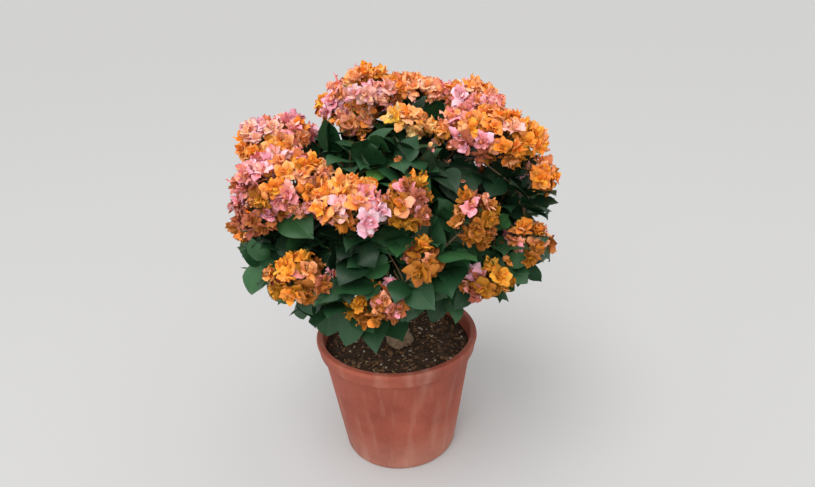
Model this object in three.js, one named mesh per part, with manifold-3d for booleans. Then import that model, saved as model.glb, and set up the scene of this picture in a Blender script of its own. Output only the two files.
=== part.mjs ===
// Bougainvillea bush in its round pot, in millimetres, +Z up.
// Origin: centre of the pot's flat underside. -Y is the side the bush is seen from.
// A tapered trunk leaves the compost, forks low down, and six boughs carry the
// crown: masses of leaves inside, and domed trusses of double flowers round them.

import * as THREE from "three";
import { mergeVertices } from "three/addons/utils/BufferGeometryUtils.js";
import Module from "manifold-3d";

const wasm = await Module();
wasm.setup();

// ---------------------------------------------------------------- driving sizes
const GAP = 0.4; // clear space between neighbouring pieces

const POT_HEIGHT = 200;
const POT_RIM_RADIUS = 125; // over the rolled rim
const POT_BASE_RADIUS = 89;
const POT_WALL = 4;
const POT_FLOOR = 5;
const RIM_BAND_HEIGHT = 24;
const RIM_BAND_PROUD = 6;
const DRAIN_HOLES = 5;
const DRAIN_RADIUS = 6;
const DRAIN_CIRCLE = 56;
const POT_SIDES = 36;

const SOIL_LEVEL = 181; // flat part of the compost, round the trunk
const SOIL_FLAT_RADIUS = 46;
const SOIL_EDGE_DROP = 3;

const TRUNK_BASE_RADIUS = 14; // above the flare
const TRUNK_FORK_RADIUS = 11;
const TRUNK_FLARE = 8; // what the root flare adds at the soil
const TRUNK_FLARE_HEIGHT = 16;
const TRUNK_FORK_HEIGHT = 243;
const TRUNK_LEAN = { x: -9, y: 5 }; // how far the fork stands off the foot
const TRUNK_SIDES = 12;

const BOUGH_BASE_RADIUS = 6.6;
const BOUGH_TIP_RADIUS = 3.4;
const BOUGH_SIDES = 7;
const BOUGH_STEPS = 9;

const CROWN_CENTRE = new THREE.Vector3(0, 0, 400);
const UNDERSIDE = 0.78; // a mass is flatter below than above
const LOBE_SHARPNESS = 9;

// ------------------------------------------------------------------- the masses
// Each mass sits on a ray from the crown's centre: bearing from +X towards +Y and
// height angle in degrees, reach in mm. half = half its width, depth and height.
// tilt rolls it about Y, clockwise as seen from the front.
const FLOWER_MASSES = [
  { name: "top", bearing: 121, height: 71, reach: 167, half: [46, 56, 39], tilt: 10 },
  { name: "top_chin", bearing: 129, height: 61, reach: 135, half: [27, 34, 29], tilt: 0 },
  { name: "right", bearing: -7, height: 38, reach: 173, half: [77, 62, 47], tilt: 5 },
  { name: "left", bearing: -150, height: 25, reach: 166, half: [70, 52, 46], tilt: 8 },
  { name: "mid_low", bearing: -104, height: 22, reach: 163, half: [45, 45, 36], tilt: 6 },
  { name: "top_right", bearing: 16, height: 50, reach: 188, half: [42, 50, 33], tilt: 14 },
  { name: "left_top", bearing: 177, height: 33, reach: 183, half: [60, 50, 45], tilt: -17 },
  { name: "left_low", bearing: -156, height: 9, reach: 182, half: [41, 44, 32], tilt: 0 },
  { name: "mid_right_low", bearing: -80, height: 22, reach: 169, half: [25, 33, 31], tilt: 0 },
  { name: "right_small", bearing: -52, height: 10, reach: 172, half: [27, 34, 40], tilt: 0 },
  { name: "top_mid", bearing: 55, height: 67, reach: 174, half: [37, 33, 20], tilt: 7 },
  { name: "centre_small", bearing: -8, height: 73, reach: 128, half: [39, 29, 19], tilt: 27 },
  { name: "right_tail", bearing: -8, height: 14, reach: 212, half: [20, 28, 22], tilt: 34 },
  { name: "low_small", bearing: -77, height: -2, reach: 172, half: [22, 28, 26], tilt: 0 },
  { name: "back_top", bearing: 114, height: 40, reach: 186, half: [62, 52, 44], tilt: -6 },
  { name: "back_right_top", bearing: 56, height: 34, reach: 184, half: [55, 50, 40], tilt: 10 },
  { name: "back_left", bearing: 148, height: 12, reach: 193, half: [55, 55, 43], tilt: -18 },
  { name: "back_right", bearing: 24, height: 9, reach: 192, half: [48, 56, 42], tilt: 20 },
  { name: "back", bearing: 88, height: 8, reach: 182, half: [56, 42, 40], tilt: 0 },
  { name: "back_left_low", bearing: 126, height: -15, reach: 196, half: [46, 42, 33], tilt: -10 },
  { name: "back_right_low", bearing: 52, height: -16, reach: 194, half: [46, 42, 32], tilt: 12 },
  { name: "right_low", bearing: -14, height: -11, reach: 196, half: [36, 44, 33], tilt: 12 },
  { name: "left_side", bearing: 171, height: -8, reach: 200, half: [38, 47, 36], tilt: -10 },
  { name: "front_left_low", bearing: -130, height: -11, reach: 188, half: [42, 38, 32], tilt: 0 },
  { name: "front_low", bearing: -97, height: -22, reach: 176, half: [36, 32, 29], tilt: 0 },
  { name: "right_front_low", bearing: -44, height: -19, reach: 180, half: [35, 34, 30], tilt: 0 },
];

const LEAF_MASSES = [
  { name: "heart", bearing: 90, height: 50, reach: 60, half: [114, 86, 68], tilt: 0 },
  { name: "front", bearing: -97, height: -14, reach: 100, half: [96, 64, 62], tilt: 0 },
  { name: "left", bearing: 180, height: -20, reach: 126, half: [74, 84, 60], tilt: -12 },
  { name: "right", bearing: -5, height: -19, reach: 128, half: [76, 84, 62], tilt: 12 },
  { name: "back", bearing: 90, height: -19, reach: 130, half: [90, 66, 60], tilt: 0 },
  { name: "brow", bearing: -58, height: 58, reach: 92, half: [84, 52, 44], tilt: 8 },
];

// Each bough leaves the fork on a bearing and runs to the middle of a leaf mass.
const BOUGHS = [
  { name: "heart", bearing: 60, into: "heart", rise: 0.62, spread: 0.1 },
  { name: "front", bearing: -95, into: "front", rise: 0.3, spread: 0.42 },
  { name: "left", bearing: 175, into: "left", rise: 0.3, spread: 0.44 },
  { name: "right", bearing: -8, into: "right", rise: 0.3, spread: 0.44 },
  { name: "back", bearing: 100, into: "back", rise: 0.3, spread: 0.42 },
  { name: "brow", bearing: -40, into: "brow", rise: 0.5, spread: 0.24 },
];

// --------------------------------------------------------------------- materials
const paint = (colour, roughness) =>
  new THREE.MeshStandardMaterial({ color: colour, roughness, metalness: 0 });
const BLOSSOM = () => paint(0xee9647, 0.62);
const FOLIAGE = () => paint(0x2a5433, 0.5);
const BARK = () => paint(0x86715a, 0.85);
const CLAY = () => paint(0x9a4936, 0.6);
const COMPOST = () => paint(0x3b2c22, 0.95);

// ----------------------------------------------------------------------- helpers
const rad = THREE.MathUtils.degToRad;

// Repeatable numbers from 0 to 1, from a seed.
function dice(seed) {
  let a = seed >>> 0;
  return () => {
    a = (a + 0x6d2b79f5) >>> 0;
    let t = a;
    t = Math.imul(t ^ (t >>> 15), t | 1);
    t ^= t + Math.imul(t ^ (t >>> 7), t | 61);
    return ((t ^ (t >>> 14)) >>> 0) / 4294967296;
  };
}

function seedOf(text) {
  let h = 2166136261;
  for (const c of text) h = Math.imul(h ^ c.charCodeAt(0), 16777619);
  return h >>> 0;
}

function welded(geometry) {
  const g = geometry.clone();
  g.deleteAttribute("normal");
  g.deleteAttribute("uv");
  return mergeVertices(g, 1e-4);
}

function solid(geometry) {
  const g = welded(geometry);
  return new wasm.Manifold(
    new wasm.Mesh({
      numProp: 3,
      vertProperties: new Float32Array(g.attributes.position.array),
      triVerts: new Uint32Array(g.index.array),
    }),
  );
}

// The largest body left by a cut, without the crumbs.
function mainBody(shape) {
  return shape.decompose().reduce((a, b) => (b.volume() > a.volume() ? b : a));
}

function meshOf(name, shape, material) {
  const m = shape.getMesh();
  const g = new THREE.BufferGeometry();
  g.setAttribute("position", new THREE.BufferAttribute(m.vertProperties, 3));
  g.setIndex(new THREE.BufferAttribute(m.triVerts, 1));
  const flat = g.toNonIndexed();
  flat.computeVertexNormals();
  const mesh = new THREE.Mesh(flat, material);
  mesh.name = name;
  return mesh;
}

function onRay({ bearing, height, reach }) {
  const b = rad(bearing);
  const h = rad(height);
  return new THREE.Vector3(
    Math.cos(h) * Math.cos(b),
    Math.cos(h) * Math.sin(b),
    Math.sin(h),
  )
    .multiplyScalar(reach)
    .add(CROWN_CENTRE);
}

// ------------------------------------------------------------------ mass of foliage
// An ellipsoid pushed out into soft lobes and dips, each at a place of its own.
function massShape(mass, lobes, swell, detail, grow = 0) {
  const roll = dice(seedOf(mass.name));
  const bumps = Array.from({ length: lobes }, (_, i) => {
    const z = 1 - (2 * (i + 0.5)) / lobes;
    const turn = i * 2.39996 + roll() * 0.9;
    const s = Math.sqrt(1 - z * z);
    return {
      at: new THREE.Vector3(s * Math.cos(turn), s * Math.sin(turn), z),
      size: swell * (roll() * 1.5 - 0.55),
    };
  });
  const g = welded(new THREE.IcosahedronGeometry(1, detail));
  const p = g.attributes.position;
  const lean = new THREE.Matrix4().makeRotationY(rad(mass.tilt));
  const centre = onRay(mass);
  const d = new THREE.Vector3();
  for (let i = 0; i < p.count; i++) {
    d.fromBufferAttribute(p, i).normalize();
    let r = 1;
    for (const b of bumps)
      r += b.size * Math.exp(LOBE_SHARPNESS * (d.dot(b.at) - 1));
    const below = d.z < 0 ? UNDERSIDE : 1;
    const v = new THREE.Vector3(
      d.x * mass.half[0] * r,
      d.y * mass.half[1] * r,
      d.z * mass.half[2] * r * below,
    )
      .addScaledVector(d, grow)
      .applyMatrix4(lean)
      .add(centre);
    p.setXYZ(i, v.x, v.y, v.z);
  }
  return solid(g);
}

// -------------------------------------------------------------------- tapering limb
// A closed cylinder bent along a curve, with a radius of its own at every step.
function limbShape(curve, radiusAt, sides, steps, grow = 0) {
  const g = welded(new THREE.CylinderGeometry(1, 1, 1, sides, steps));
  const p = g.attributes.position;
  const frames = curve.computeFrenetFrames(steps, false);
  for (let i = 0; i < p.count; i++) {
    const t = THREE.MathUtils.clamp(p.getY(i) + 0.5, 0, 1);
    const k = Math.round(t * steps);
    const turn = Math.atan2(p.getZ(i), p.getX(i));
    const out = Math.hypot(p.getX(i), p.getZ(i)) < 1e-6 ? 0 : 1;
    const v = curve.getPointAt(t);
    const r = out * (radiusAt(t, turn) + grow);
    v.addScaledVector(frames.normals[k], -r * Math.cos(turn));
    v.addScaledVector(frames.binormals[k], r * Math.sin(turn));
    if (grow && (t === 0 || t === 1))
      v.addScaledVector(frames.tangents[k], t === 0 ? -grow : grow);
    p.setXYZ(i, v.x, v.y, v.z);
  }
  const made = solid(g);
  if (made.volume() > 0) return made;
  const idx = g.index;
  for (let i = 0; i < idx.count; i += 3) {
    const a = idx.getX(i);
    idx.setX(i, idx.getX(i + 1));
    idx.setX(i + 1, a);
  }
  return solid(g);
}

// ----------------------------------------------------------------------------- pot
function potShape() {
  const slope = (POT_RIM_RADIUS - RIM_BAND_PROUD - POT_BASE_RADIUS) / POT_HEIGHT;
  const outer = (z) => POT_BASE_RADIUS + slope * z;
  const bandFoot = POT_HEIGHT - RIM_BAND_HEIGHT;
  const profile = [
    [0, 0],
    [POT_BASE_RADIUS - 2, 0],
    [outer(2), 2],
    [outer(bandFoot), bandFoot],
    [outer(bandFoot) + RIM_BAND_PROUD - 1.5, bandFoot + 1],
    [outer(bandFoot) + RIM_BAND_PROUD + 0.5, bandFoot + 5],
    [POT_RIM_RADIUS - 0.6, POT_HEIGHT - 5],
    [POT_RIM_RADIUS - 1.8, POT_HEIGHT - 1.4],
    [POT_RIM_RADIUS - 5, POT_HEIGHT],
    [outer(POT_HEIGHT) - POT_WALL - 0.6, POT_HEIGHT - 1],
    [outer(POT_HEIGHT - 6) - POT_WALL, POT_HEIGHT - 6],
    [outer(POT_FLOOR) - POT_WALL, POT_FLOOR],
    [0, POT_FLOOR],
  ].map(([r, z]) => new THREE.Vector2(r, z));
  const lathe = new THREE.LatheGeometry(profile, POT_SIDES);
  lathe.rotateX(Math.PI / 2);
  let pot = solid(lathe);
  for (let i = 0; i < DRAIN_HOLES; i++) {
    const turn = (2 * Math.PI * (i + 0.5)) / DRAIN_HOLES;
    const hole = new THREE.CylinderGeometry(
      DRAIN_RADIUS,
      DRAIN_RADIUS,
      POT_FLOOR * 3,
      10,
    );
    hole.rotateX(Math.PI / 2);
    hole.translate(
      DRAIN_CIRCLE * Math.cos(turn),
      DRAIN_CIRCLE * Math.sin(turn),
      POT_FLOOR / 2,
    );
    pot = pot.subtract(solid(hole));
  }
  return pot;
}

function soilShape() {
  const slope = (POT_RIM_RADIUS - RIM_BAND_PROUD - POT_BASE_RADIUS) / POT_HEIGHT;
  const inner = (z) => POT_BASE_RADIUS + slope * z - POT_WALL - GAP - 0.5;
  const edge = SOIL_LEVEL - SOIL_EDGE_DROP;
  const profile = [
    [0, POT_FLOOR + GAP],
    [inner(POT_FLOOR + GAP), POT_FLOOR + GAP],
    [inner(edge), edge],
    [inner(edge) - 22, SOIL_LEVEL - 0.8],
    [SOIL_FLAT_RADIUS, SOIL_LEVEL],
    [0, SOIL_LEVEL],
  ].map(([r, z]) => new THREE.Vector2(r, z));
  const lathe = new THREE.LatheGeometry(profile, POT_SIDES);
  lathe.rotateX(Math.PI / 2);
  return solid(lathe);
}

// --------------------------------------------------------------------- trunk and boughs
const FOOT = new THREE.Vector3(3, -2, SOIL_LEVEL + GAP);
const FORK = new THREE.Vector3(
  FOOT.x + TRUNK_LEAN.x,
  FOOT.y + TRUNK_LEAN.y,
  TRUNK_FORK_HEIGHT,
);

function trunkRadius(t, turn) {
  const up = t * (TRUNK_FORK_HEIGHT - SOIL_LEVEL);
  const flare =
    TRUNK_FLARE * Math.exp(-((up / TRUNK_FLARE_HEIGHT) ** 2) * 2.2) *
    (1 + 0.35 * Math.cos(3 * turn + 0.6) + 0.2 * Math.cos(5 * turn));
  return THREE.MathUtils.lerp(TRUNK_BASE_RADIUS, TRUNK_FORK_RADIUS, t) + flare;
}

function trunkShape(grow = 0) {
  const curve = new THREE.CatmullRomCurve3([
    FOOT,
    FOOT.clone().add(new THREE.Vector3(-1, 1, 18)),
    FOOT.clone().lerp(FORK, 0.62).add(new THREE.Vector3(1.5, -1, 0)),
    FORK,
  ]);
  const shape = limbShape(curve, trunkRadius, TRUNK_SIDES, 8, grow);
  // The flat cut at soil level.
  const below = new THREE.BoxGeometry(200, 200, 60);
  below.translate(0, 0, FOOT.z - 30);
  return mainBody(shape.subtract(solid(below)));
}

function boughCurve(bough) {
  const b = rad(bough.bearing);
  const side = new THREE.Vector3(Math.cos(b), Math.sin(b), 0);
  const start = FORK.clone()
    .addScaledVector(side, TRUNK_FORK_RADIUS * 0.45)
    .add(new THREE.Vector3(0, 0, -7));
  const end = onRay(LEAF_MASSES.find((m) => m.name === bough.into));
  const span = end.distanceTo(start);
  const knee = start
    .clone()
    .addScaledVector(side, span * bough.spread)
    .add(new THREE.Vector3(0, 0, span * bough.rise));
  const roll = dice(seedOf("bough" + bough.name));
  const kink = () => (roll() - 0.5) * 9;
  const past = knee
    .clone()
    .lerp(end, 0.5)
    .add(new THREE.Vector3(kink(), kink(), 6 + kink()));
  return new THREE.CatmullRomCurve3([start, knee, past, end]);
}

function boughShape(bough, grow = 0) {
  const radius = (t) =>
    THREE.MathUtils.lerp(BOUGH_BASE_RADIUS, BOUGH_TIP_RADIUS, t);
  return limbShape(boughCurve(bough), radius, BOUGH_SIDES, BOUGH_STEPS, grow);
}

// ------------------------------------------------------------------------ the bush
const bush = new THREE.Group();

bush.add(meshOf("pot", potShape(), CLAY()));
bush.add(meshOf("compost", soilShape(), COMPOST()));
bush.add(meshOf("trunk", trunkShape(), BARK()));

// Masses: each is cut round the ones before it, flowers before leaves.
const detailOf = (mass) => (mass.half[0] > 40 ? 2 : 1);
const placed = [];
const cutRound = (shape, centre, size) => {
  for (const other of placed)
    if (other.centre.distanceTo(centre) < other.size + size)
      shape = shape.subtract(other.grown);
  return mainBody(shape);
};
for (const [kind, masses, lobes, swell, material] of [
  ["flower_mass", FLOWER_MASSES, 12, 0.34, BLOSSOM],
  ["leaf_mass", LEAF_MASSES, 13, 0.3, FOLIAGE],
])
  for (const mass of masses) {
    const centre = onRay(mass);
    const size = Math.max(...mass.half) * 1.35;
    const detail = kind === "leaf_mass" ? 2 : detailOf(mass);
    const whole = massShape(mass, lobes, swell, detail);
    bush.add(meshOf(`${kind}_${mass.name}`, cutRound(whole, centre, size), material()));
    placed.push({
      centre,
      size,
      grown: massShape(mass, lobes, swell, detail, GAP + 0.15),
    });
  }

// Boughs: from the fork to where each enters the foliage.
const trunkGrown = trunkShape(GAP);
const boughsBefore = [];
for (const bough of BOUGHS) {
  let shape = boughShape(bough).subtract(trunkGrown);
  for (const before of boughsBefore) shape = shape.subtract(before);
  for (const mass of placed) shape = shape.subtract(mass.grown);
  const lowest = shape
    .decompose()
    .filter((s) => s.volume() > 60)
    .reduce((a, b) => (b.boundingBox().min[2] < a.boundingBox().min[2] ? b : a));
  bush.add(meshOf(`bough_${bough.name}`, lowest, BARK()));
  boughsBefore.push(boughShape(bough, GAP));
}

export default bush;
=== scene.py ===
import math

import bmesh
import bpy
import numpy as np
from mathutils import Matrix, Vector, noise


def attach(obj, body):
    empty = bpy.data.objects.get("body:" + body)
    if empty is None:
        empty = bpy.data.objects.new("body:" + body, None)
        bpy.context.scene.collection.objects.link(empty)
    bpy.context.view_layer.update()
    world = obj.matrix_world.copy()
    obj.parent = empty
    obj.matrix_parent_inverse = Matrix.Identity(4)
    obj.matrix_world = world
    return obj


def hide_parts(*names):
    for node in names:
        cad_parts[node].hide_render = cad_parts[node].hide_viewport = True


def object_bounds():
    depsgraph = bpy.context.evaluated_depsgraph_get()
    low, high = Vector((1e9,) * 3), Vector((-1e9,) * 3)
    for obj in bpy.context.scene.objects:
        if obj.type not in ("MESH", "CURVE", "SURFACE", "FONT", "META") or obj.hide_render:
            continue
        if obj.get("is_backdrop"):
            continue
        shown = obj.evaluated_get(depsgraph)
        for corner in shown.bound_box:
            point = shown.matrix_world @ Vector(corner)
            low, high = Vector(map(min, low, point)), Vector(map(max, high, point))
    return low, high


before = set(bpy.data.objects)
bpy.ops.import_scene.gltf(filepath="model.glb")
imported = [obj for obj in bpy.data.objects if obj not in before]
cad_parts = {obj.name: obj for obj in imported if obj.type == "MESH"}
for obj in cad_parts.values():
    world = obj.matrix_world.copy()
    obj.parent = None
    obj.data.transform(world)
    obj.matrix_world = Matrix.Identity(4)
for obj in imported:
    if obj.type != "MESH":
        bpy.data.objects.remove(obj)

CAD_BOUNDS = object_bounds()


def plain(value):
    return [plain(v) for v in value] if hasattr(value, "__len__") else float(value)


# =====================================================================================
# Camera: the photograph's viewing angle, 24 degrees down with a slight roll
# =====================================================================================
PITCH, ROLL, FOCAL_PX = math.radians(24.25), math.radians(2.09), 650.0
forward = np.array([0.0, math.cos(PITCH), -math.sin(PITCH)])
level_up = np.array([0.0, math.sin(PITCH), math.cos(PITCH)])
level_right = np.array([1.0, 0.0, 0.0])
cam_right = math.cos(ROLL) * level_right - math.sin(ROLL) * level_up
cam_up = math.sin(ROLL) * level_right + math.cos(ROLL) * level_up
CAM_AT = np.array([0.022, -0.8703, 0.7380])

cam = bpy.data.cameras.new("view")
cam.sensor_fit = "HORIZONTAL"
cam.sensor_width = 36.0
cam.lens = FOCAL_PX / 815.0 * 36.0
cam.clip_start, cam.clip_end = 0.02, 100.0
cam_ob = bpy.data.objects.new("view", cam)
cam_ob.matrix_world = Matrix(
    (
        (cam_right[0], cam_up[0], -forward[0], CAM_AT[0]),
        (cam_right[1], cam_up[1], -forward[1], CAM_AT[1]),
        (cam_right[2], cam_up[2], -forward[2], CAM_AT[2]),
        (0, 0, 0, 1),
    )
)
bpy.context.scene.collection.objects.link(cam_ob)
bpy.context.scene.camera = cam_ob

# =====================================================================================
# Sizes shared with the solids, in millimetres
# =====================================================================================
POT_HEIGHT, POT_RIM_RADIUS, POT_BASE_RADIUS = 200.0, 125.0, 89.0
POT_WALL, POT_FLOOR, RIM_BAND_HEIGHT, RIM_BAND_PROUD = 4.0, 5.0, 24.0, 6.0
DRAIN_HOLES, DRAIN_RADIUS, DRAIN_CIRCLE = 5, 6.0, 56.0
SOIL_LEVEL, SOIL_EDGE_DROP, SOIL_FLAT_RADIUS, GAP = 181.0, 3.0, 46.0, 0.4
TRUNK_BASE_RADIUS, TRUNK_FORK_RADIUS, TRUNK_FLARE, TRUNK_FLARE_HEIGHT = 14.0, 11.0, 8.0, 16.0
TRUNK_FORK_HEIGHT, TRUNK_LEAN = 243.0, (-9.0, 5.0)
BOUGH_BASE_RADIUS, BOUGH_TIP_RADIUS = 6.6, 3.4
CROWN_CENTRE = np.array([0.0, 0.0, 400.0])
UNDERSIDE, LOBE_SHARPNESS = 0.78, 9.0

# name, bearing, height angle, reach, half sizes, tilt
FLOWER_MASSES = [
    ("top", 121, 71, 167, (46, 56, 39), 10),
    ("top_chin", 129, 61, 135, (27, 34, 29), 0),
    ("right", -7, 38, 173, (77, 62, 47), 5),
    ("left", -150, 25, 166, (70, 52, 46), 8),
    ("mid_low", -104, 22, 163, (45, 45, 36), 6),
    ("top_right", 16, 50, 188, (42, 50, 33), 14),
    ("left_top", 177, 33, 183, (60, 50, 45), -17),
    ("left_low", -156, 9, 182, (41, 44, 32), 0),
    ("mid_right_low", -80, 22, 169, (25, 33, 31), 0),
    ("right_small", -52, 10, 172, (27, 34, 40), 0),
    ("top_mid", 55, 67, 174, (37, 33, 20), 7),
    ("centre_small", -8, 73, 128, (39, 29, 19), 27),
    ("right_tail", -8, 14, 212, (20, 28, 22), 34),
    ("low_small", -77, -2, 172, (22, 28, 26), 0),
    ("back_top", 114, 40, 186, (62, 52, 44), -6),
    ("back_right_top", 56, 34, 184, (55, 50, 40), 10),
    ("back_left", 148, 12, 193, (55, 55, 43), -18),
    ("back_right", 24, 9, 192, (48, 56, 42), 20),
    ("back", 88, 8, 182, (56, 42, 40), 0),
    ("back_left_low", 126, -15, 196, (46, 42, 33), -10),
    ("back_right_low", 52, -16, 194, (46, 42, 32), 12),
    ("right_low", -14, -11, 196, (36, 44, 33), 12),
    ("left_side", 171, -8, 200, (38, 47, 36), -10),
    ("front_left_low", -130, -11, 188, (42, 38, 32), 0),
    ("front_low", -97, -22, 176, (36, 32, 29), 0),
    ("right_front_low", -44, -19, 180, (35, 34, 30), 0),
]
LEAF_MASSES = [
    ("heart", 90, 50, 60, (114, 86, 68), 0),
    ("front", -97, -14, 100, (96, 64, 62), 0),
    ("left", 180, -20, 126, (74, 84, 60), -12),
    ("right", -5, -19, 128, (76, 84, 62), 12),
    ("back", 90, -19, 130, (90, 66, 60), 0),
    ("brow", -58, 58, 92, (84, 52, 44), 8),
]
BOUGHS = [
    ("heart", 60, "heart", 0.62, 0.1),
    ("front", -95, "front", 0.3, 0.42),
    ("left", 175, "left", 0.3, 0.44),
    ("right", -8, "right", 0.3, 0.44),
    ("back", 100, "back", 0.3, 0.42),
    ("brow", -40, "brow", 0.5, 0.24),
]

MM = 0.001
M32 = 0xFFFFFFFF


# =====================================================================================
# Numbers and shapes worked out as the solids are
# =====================================================================================
def dice(seed):
    state = [seed & M32]

    def roll():
        state[0] = (state[0] + 0x6D2B79F5) & M32
        t = state[0]
        t = ((t ^ (t >> 15)) * (t | 1)) & M32
        t ^= (t + (((t ^ (t >> 7)) * (t | 61)) & M32)) & M32
        return ((t ^ (t >> 14)) & M32) / 4294967296

    return roll


def seed_of(text):
    h = 2166136261
    for c in text:
        h = ((h ^ ord(c)) * 16777619) & M32
    return h


def unit(v):
    v = np.asarray(v, float)
    n = np.linalg.norm(v, axis=-1, keepdims=True)
    return v / np.maximum(n, 1e-12)


class Mass:
    """One mass of the crown: an ellipsoid pushed out into soft lobes and dips."""

    def __init__(self, row, lobes, swell):
        self.name, bearing, height, reach, half, tilt = row
        b, h = math.radians(bearing), math.radians(height)
        self.out = np.array([math.cos(h) * math.cos(b), math.cos(h) * math.sin(b), math.sin(h)])
        self.centre = CROWN_CENTRE + reach * self.out
        self.half = np.array(half, float)
        t = math.radians(tilt)
        self.turn = np.array([[math.cos(t), 0, math.sin(t)], [0, 1, 0], [-math.sin(t), 0, math.cos(t)]])
        roll = dice(seed_of(self.name))
        self.bumps = []
        for i in range(lobes):
            z = 1 - (2 * (i + 0.5)) / lobes
            turn = i * 2.39996 + roll() * 0.9
            s = math.sqrt(1 - z * z)
            self.bumps.append(((s * math.cos(turn), s * math.sin(turn), z), swell * (roll() * 1.5 - 0.55)))

    def radius(self, d):
        r = np.ones(len(d))
        for at, size in self.bumps:
            r += size * np.exp(LOBE_SHARPNESS * (d @ np.array(at) - 1))
        return r

    def surface(self, d, depth=0.0):
        """Points on the mass in the directions d, depth mm under its skin, with their normals."""
        below = np.where(d[:, 2] < 0, UNDERSIDE, 1.0)
        half = self.half[None, :] * np.stack([np.ones(len(d)), np.ones(len(d)), below], 1)
        p = d * half * self.radius(d)[:, None]
        n = unit(d / half)
        p = p - n * depth
        return p @ self.turn.T + self.centre, n @ self.turn.T

    def how_deep(self, p):
        """Below 1 inside the mass, 1 on its skin."""
        q = (p - self.centre) @ self.turn
        below = np.where(q[:, 2] < 0, UNDERSIDE, 1.0)
        q = q / (self.half[None, :] * np.stack([np.ones(len(q)), np.ones(len(q)), below], 1))
        length = np.linalg.norm(q, axis=1)
        d = q / np.maximum(length, 1e-9)[:, None]
        return length / self.radius(d)


FLOWERS = [Mass(row, 12, 0.34) for row in FLOWER_MASSES]
LEAVES = [Mass(row, 13, 0.30) for row in LEAF_MASSES]
BY_NAME = {m.name: m for m in LEAVES}


def sphere_directions(count, rng):
    i = np.arange(count) + 0.5
    z = 1 - 2 * i / count
    turn = i * 2.399963 + rng.uniform(0, 6.28)
    s = np.sqrt(1 - z * z)
    return np.stack([s * np.cos(turn), s * np.sin(turn), z], 1)


def spaced_out(points, spacing, rng, taken=None):
    """Picks points at random so that none is nearer to another than spacing."""
    order = rng.permutation(len(points))
    kept, at = [], ([] if taken is None else list(taken))
    sp = spacing if np.ndim(spacing) else np.full(len(points), spacing)
    grid = {}
    cell = float(np.max(sp))
    for q in at:
        grid.setdefault(tuple((q // cell).astype(int)), []).append(q)
    for i in order:
        p = points[i]
        c = (p // cell).astype(int)
        near = False
        for dx in (-1, 0, 1):
            for dy in (-1, 0, 1):
                for dz in (-1, 0, 1):
                    for q in grid.get((c[0] + dx, c[1] + dy, c[2] + dz), ()):
                        if (q[0] - p[0]) ** 2 + (q[1] - p[1]) ** 2 + (q[2] - p[2]) ** 2 < sp[i] ** 2:
                            near = True
                            break
                    if near:
                        break
                if near:
                    break
            if near:
                break
        if not near:
            kept.append(i)
            grid.setdefault(tuple(c), []).append(p)
    return np.array(kept, int)


# =====================================================================================
# Mesh making
# =====================================================================================
def new_piece(name, verts, tris, materials, slots=None, uv=None, smooth=True):
    """A joined piece from vertices in metres and triangles, with a material slot to each."""
    me = bpy.data.meshes.new(name)
    verts = np.asarray(verts, np.float32).reshape(-1, 3)
    tris = np.asarray(tris, np.int32).reshape(-1, 3)
    me.vertices.add(len(verts))
    me.vertices.foreach_set("co", verts.ravel())
    me.loops.add(len(tris) * 3)
    me.loops.foreach_set("vertex_index", tris.ravel())
    me.polygons.add(len(tris))
    me.polygons.foreach_set("loop_start", np.arange(0, len(tris) * 3, 3, dtype=np.int32))
    for m in materials:
        me.materials.append(m)
    if slots is not None:
        me.polygons.foreach_set("material_index", np.asarray(slots, np.int32))
    if uv is not None:
        layer = me.uv_layers.new(name="OFBake")
        layer.data.foreach_set("uv", np.asarray(uv, np.float32)[tris.ravel()].ravel())
    me.update(calc_edges=True)
    me.polygons.foreach_set("use_smooth", np.full(len(tris), smooth))
    me.validate()
    ob = bpy.data.objects.new(name, me)
    bpy.context.scene.collection.objects.link(ob)
    return ob


def frame_for(axis):
    """Two unit vectors across each axis."""
    axis = np.asarray(axis, float)
    helper = np.where(np.abs(axis[..., 2:3]) < 0.9, np.array([0.0, 0.0, 1.0]), np.array([1.0, 0.0, 0.0]))
    e1 = unit(np.cross(helper, axis))
    e2 = np.cross(axis, e1)
    return e1, e2


class Tubes:
    """Round tapering twigs, gathered into one mesh."""

    def __init__(self):
        self.v, self.t, self.s, self.n = [], [], [], 0

    def add(self, points, radii, sides=5, slot=0, cap=True):
        points = np.asarray(points, float)
        radii = np.asarray(radii, float)
        k = len(points)
        tangent = np.gradient(points, axis=0)
        tangent = unit(tangent)
        e1, _ = frame_for(tangent[0])
        frames = []
        for t in tangent:
            e1 = unit(e1 - t * (e1 @ t))
            frames.append((e1, np.cross(t, e1)))
        a = np.arange(sides) * 2 * math.pi / sides
        rings = np.stack(
            [
                p + r * (np.cos(a)[:, None] * f[0] + np.sin(a)[:, None] * f[1])
                for p, r, f in zip(points, radii, frames)
            ]
        ).reshape(-1, 3)
        i = np.arange(k - 1)[:, None] * sides + np.arange(sides)[None, :]
        j = np.arange(k - 1)[:, None] * sides + (np.arange(sides)[None, :] + 1) % sides
        quads = np.stack([i, j, j + sides, i + sides], -1).reshape(-1, 4)
        tris = np.concatenate([quads[:, [0, 1, 2]], quads[:, [0, 2, 3]]])
        verts = [rings]
        if cap:
            last = (k - 1) * sides
            tip = k * sides
            verts.append((points[-1] + tangent[-1] * radii[-1])[None, :])
            c = np.arange(sides)
            tris = np.concatenate([tris, np.stack([last + c, last + (c + 1) % sides, np.full(sides, tip)], 1)])
            foot = tip + 1
            verts.append((points[0] - tangent[0] * radii[0] * 0.2)[None, :])
            tris = np.concatenate([tris, np.stack([(c + 1) % sides, c, np.full(sides, foot)], 1)])
        verts = np.concatenate(verts)
        self.v.append(verts)
        self.t.append(tris + self.n)
        self.s.append(np.full(len(tris), slot))
        self.n += len(verts)

    def mesh(self):
        return np.concatenate(self.v), np.concatenate(self.t), np.concatenate(self.s)


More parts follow.
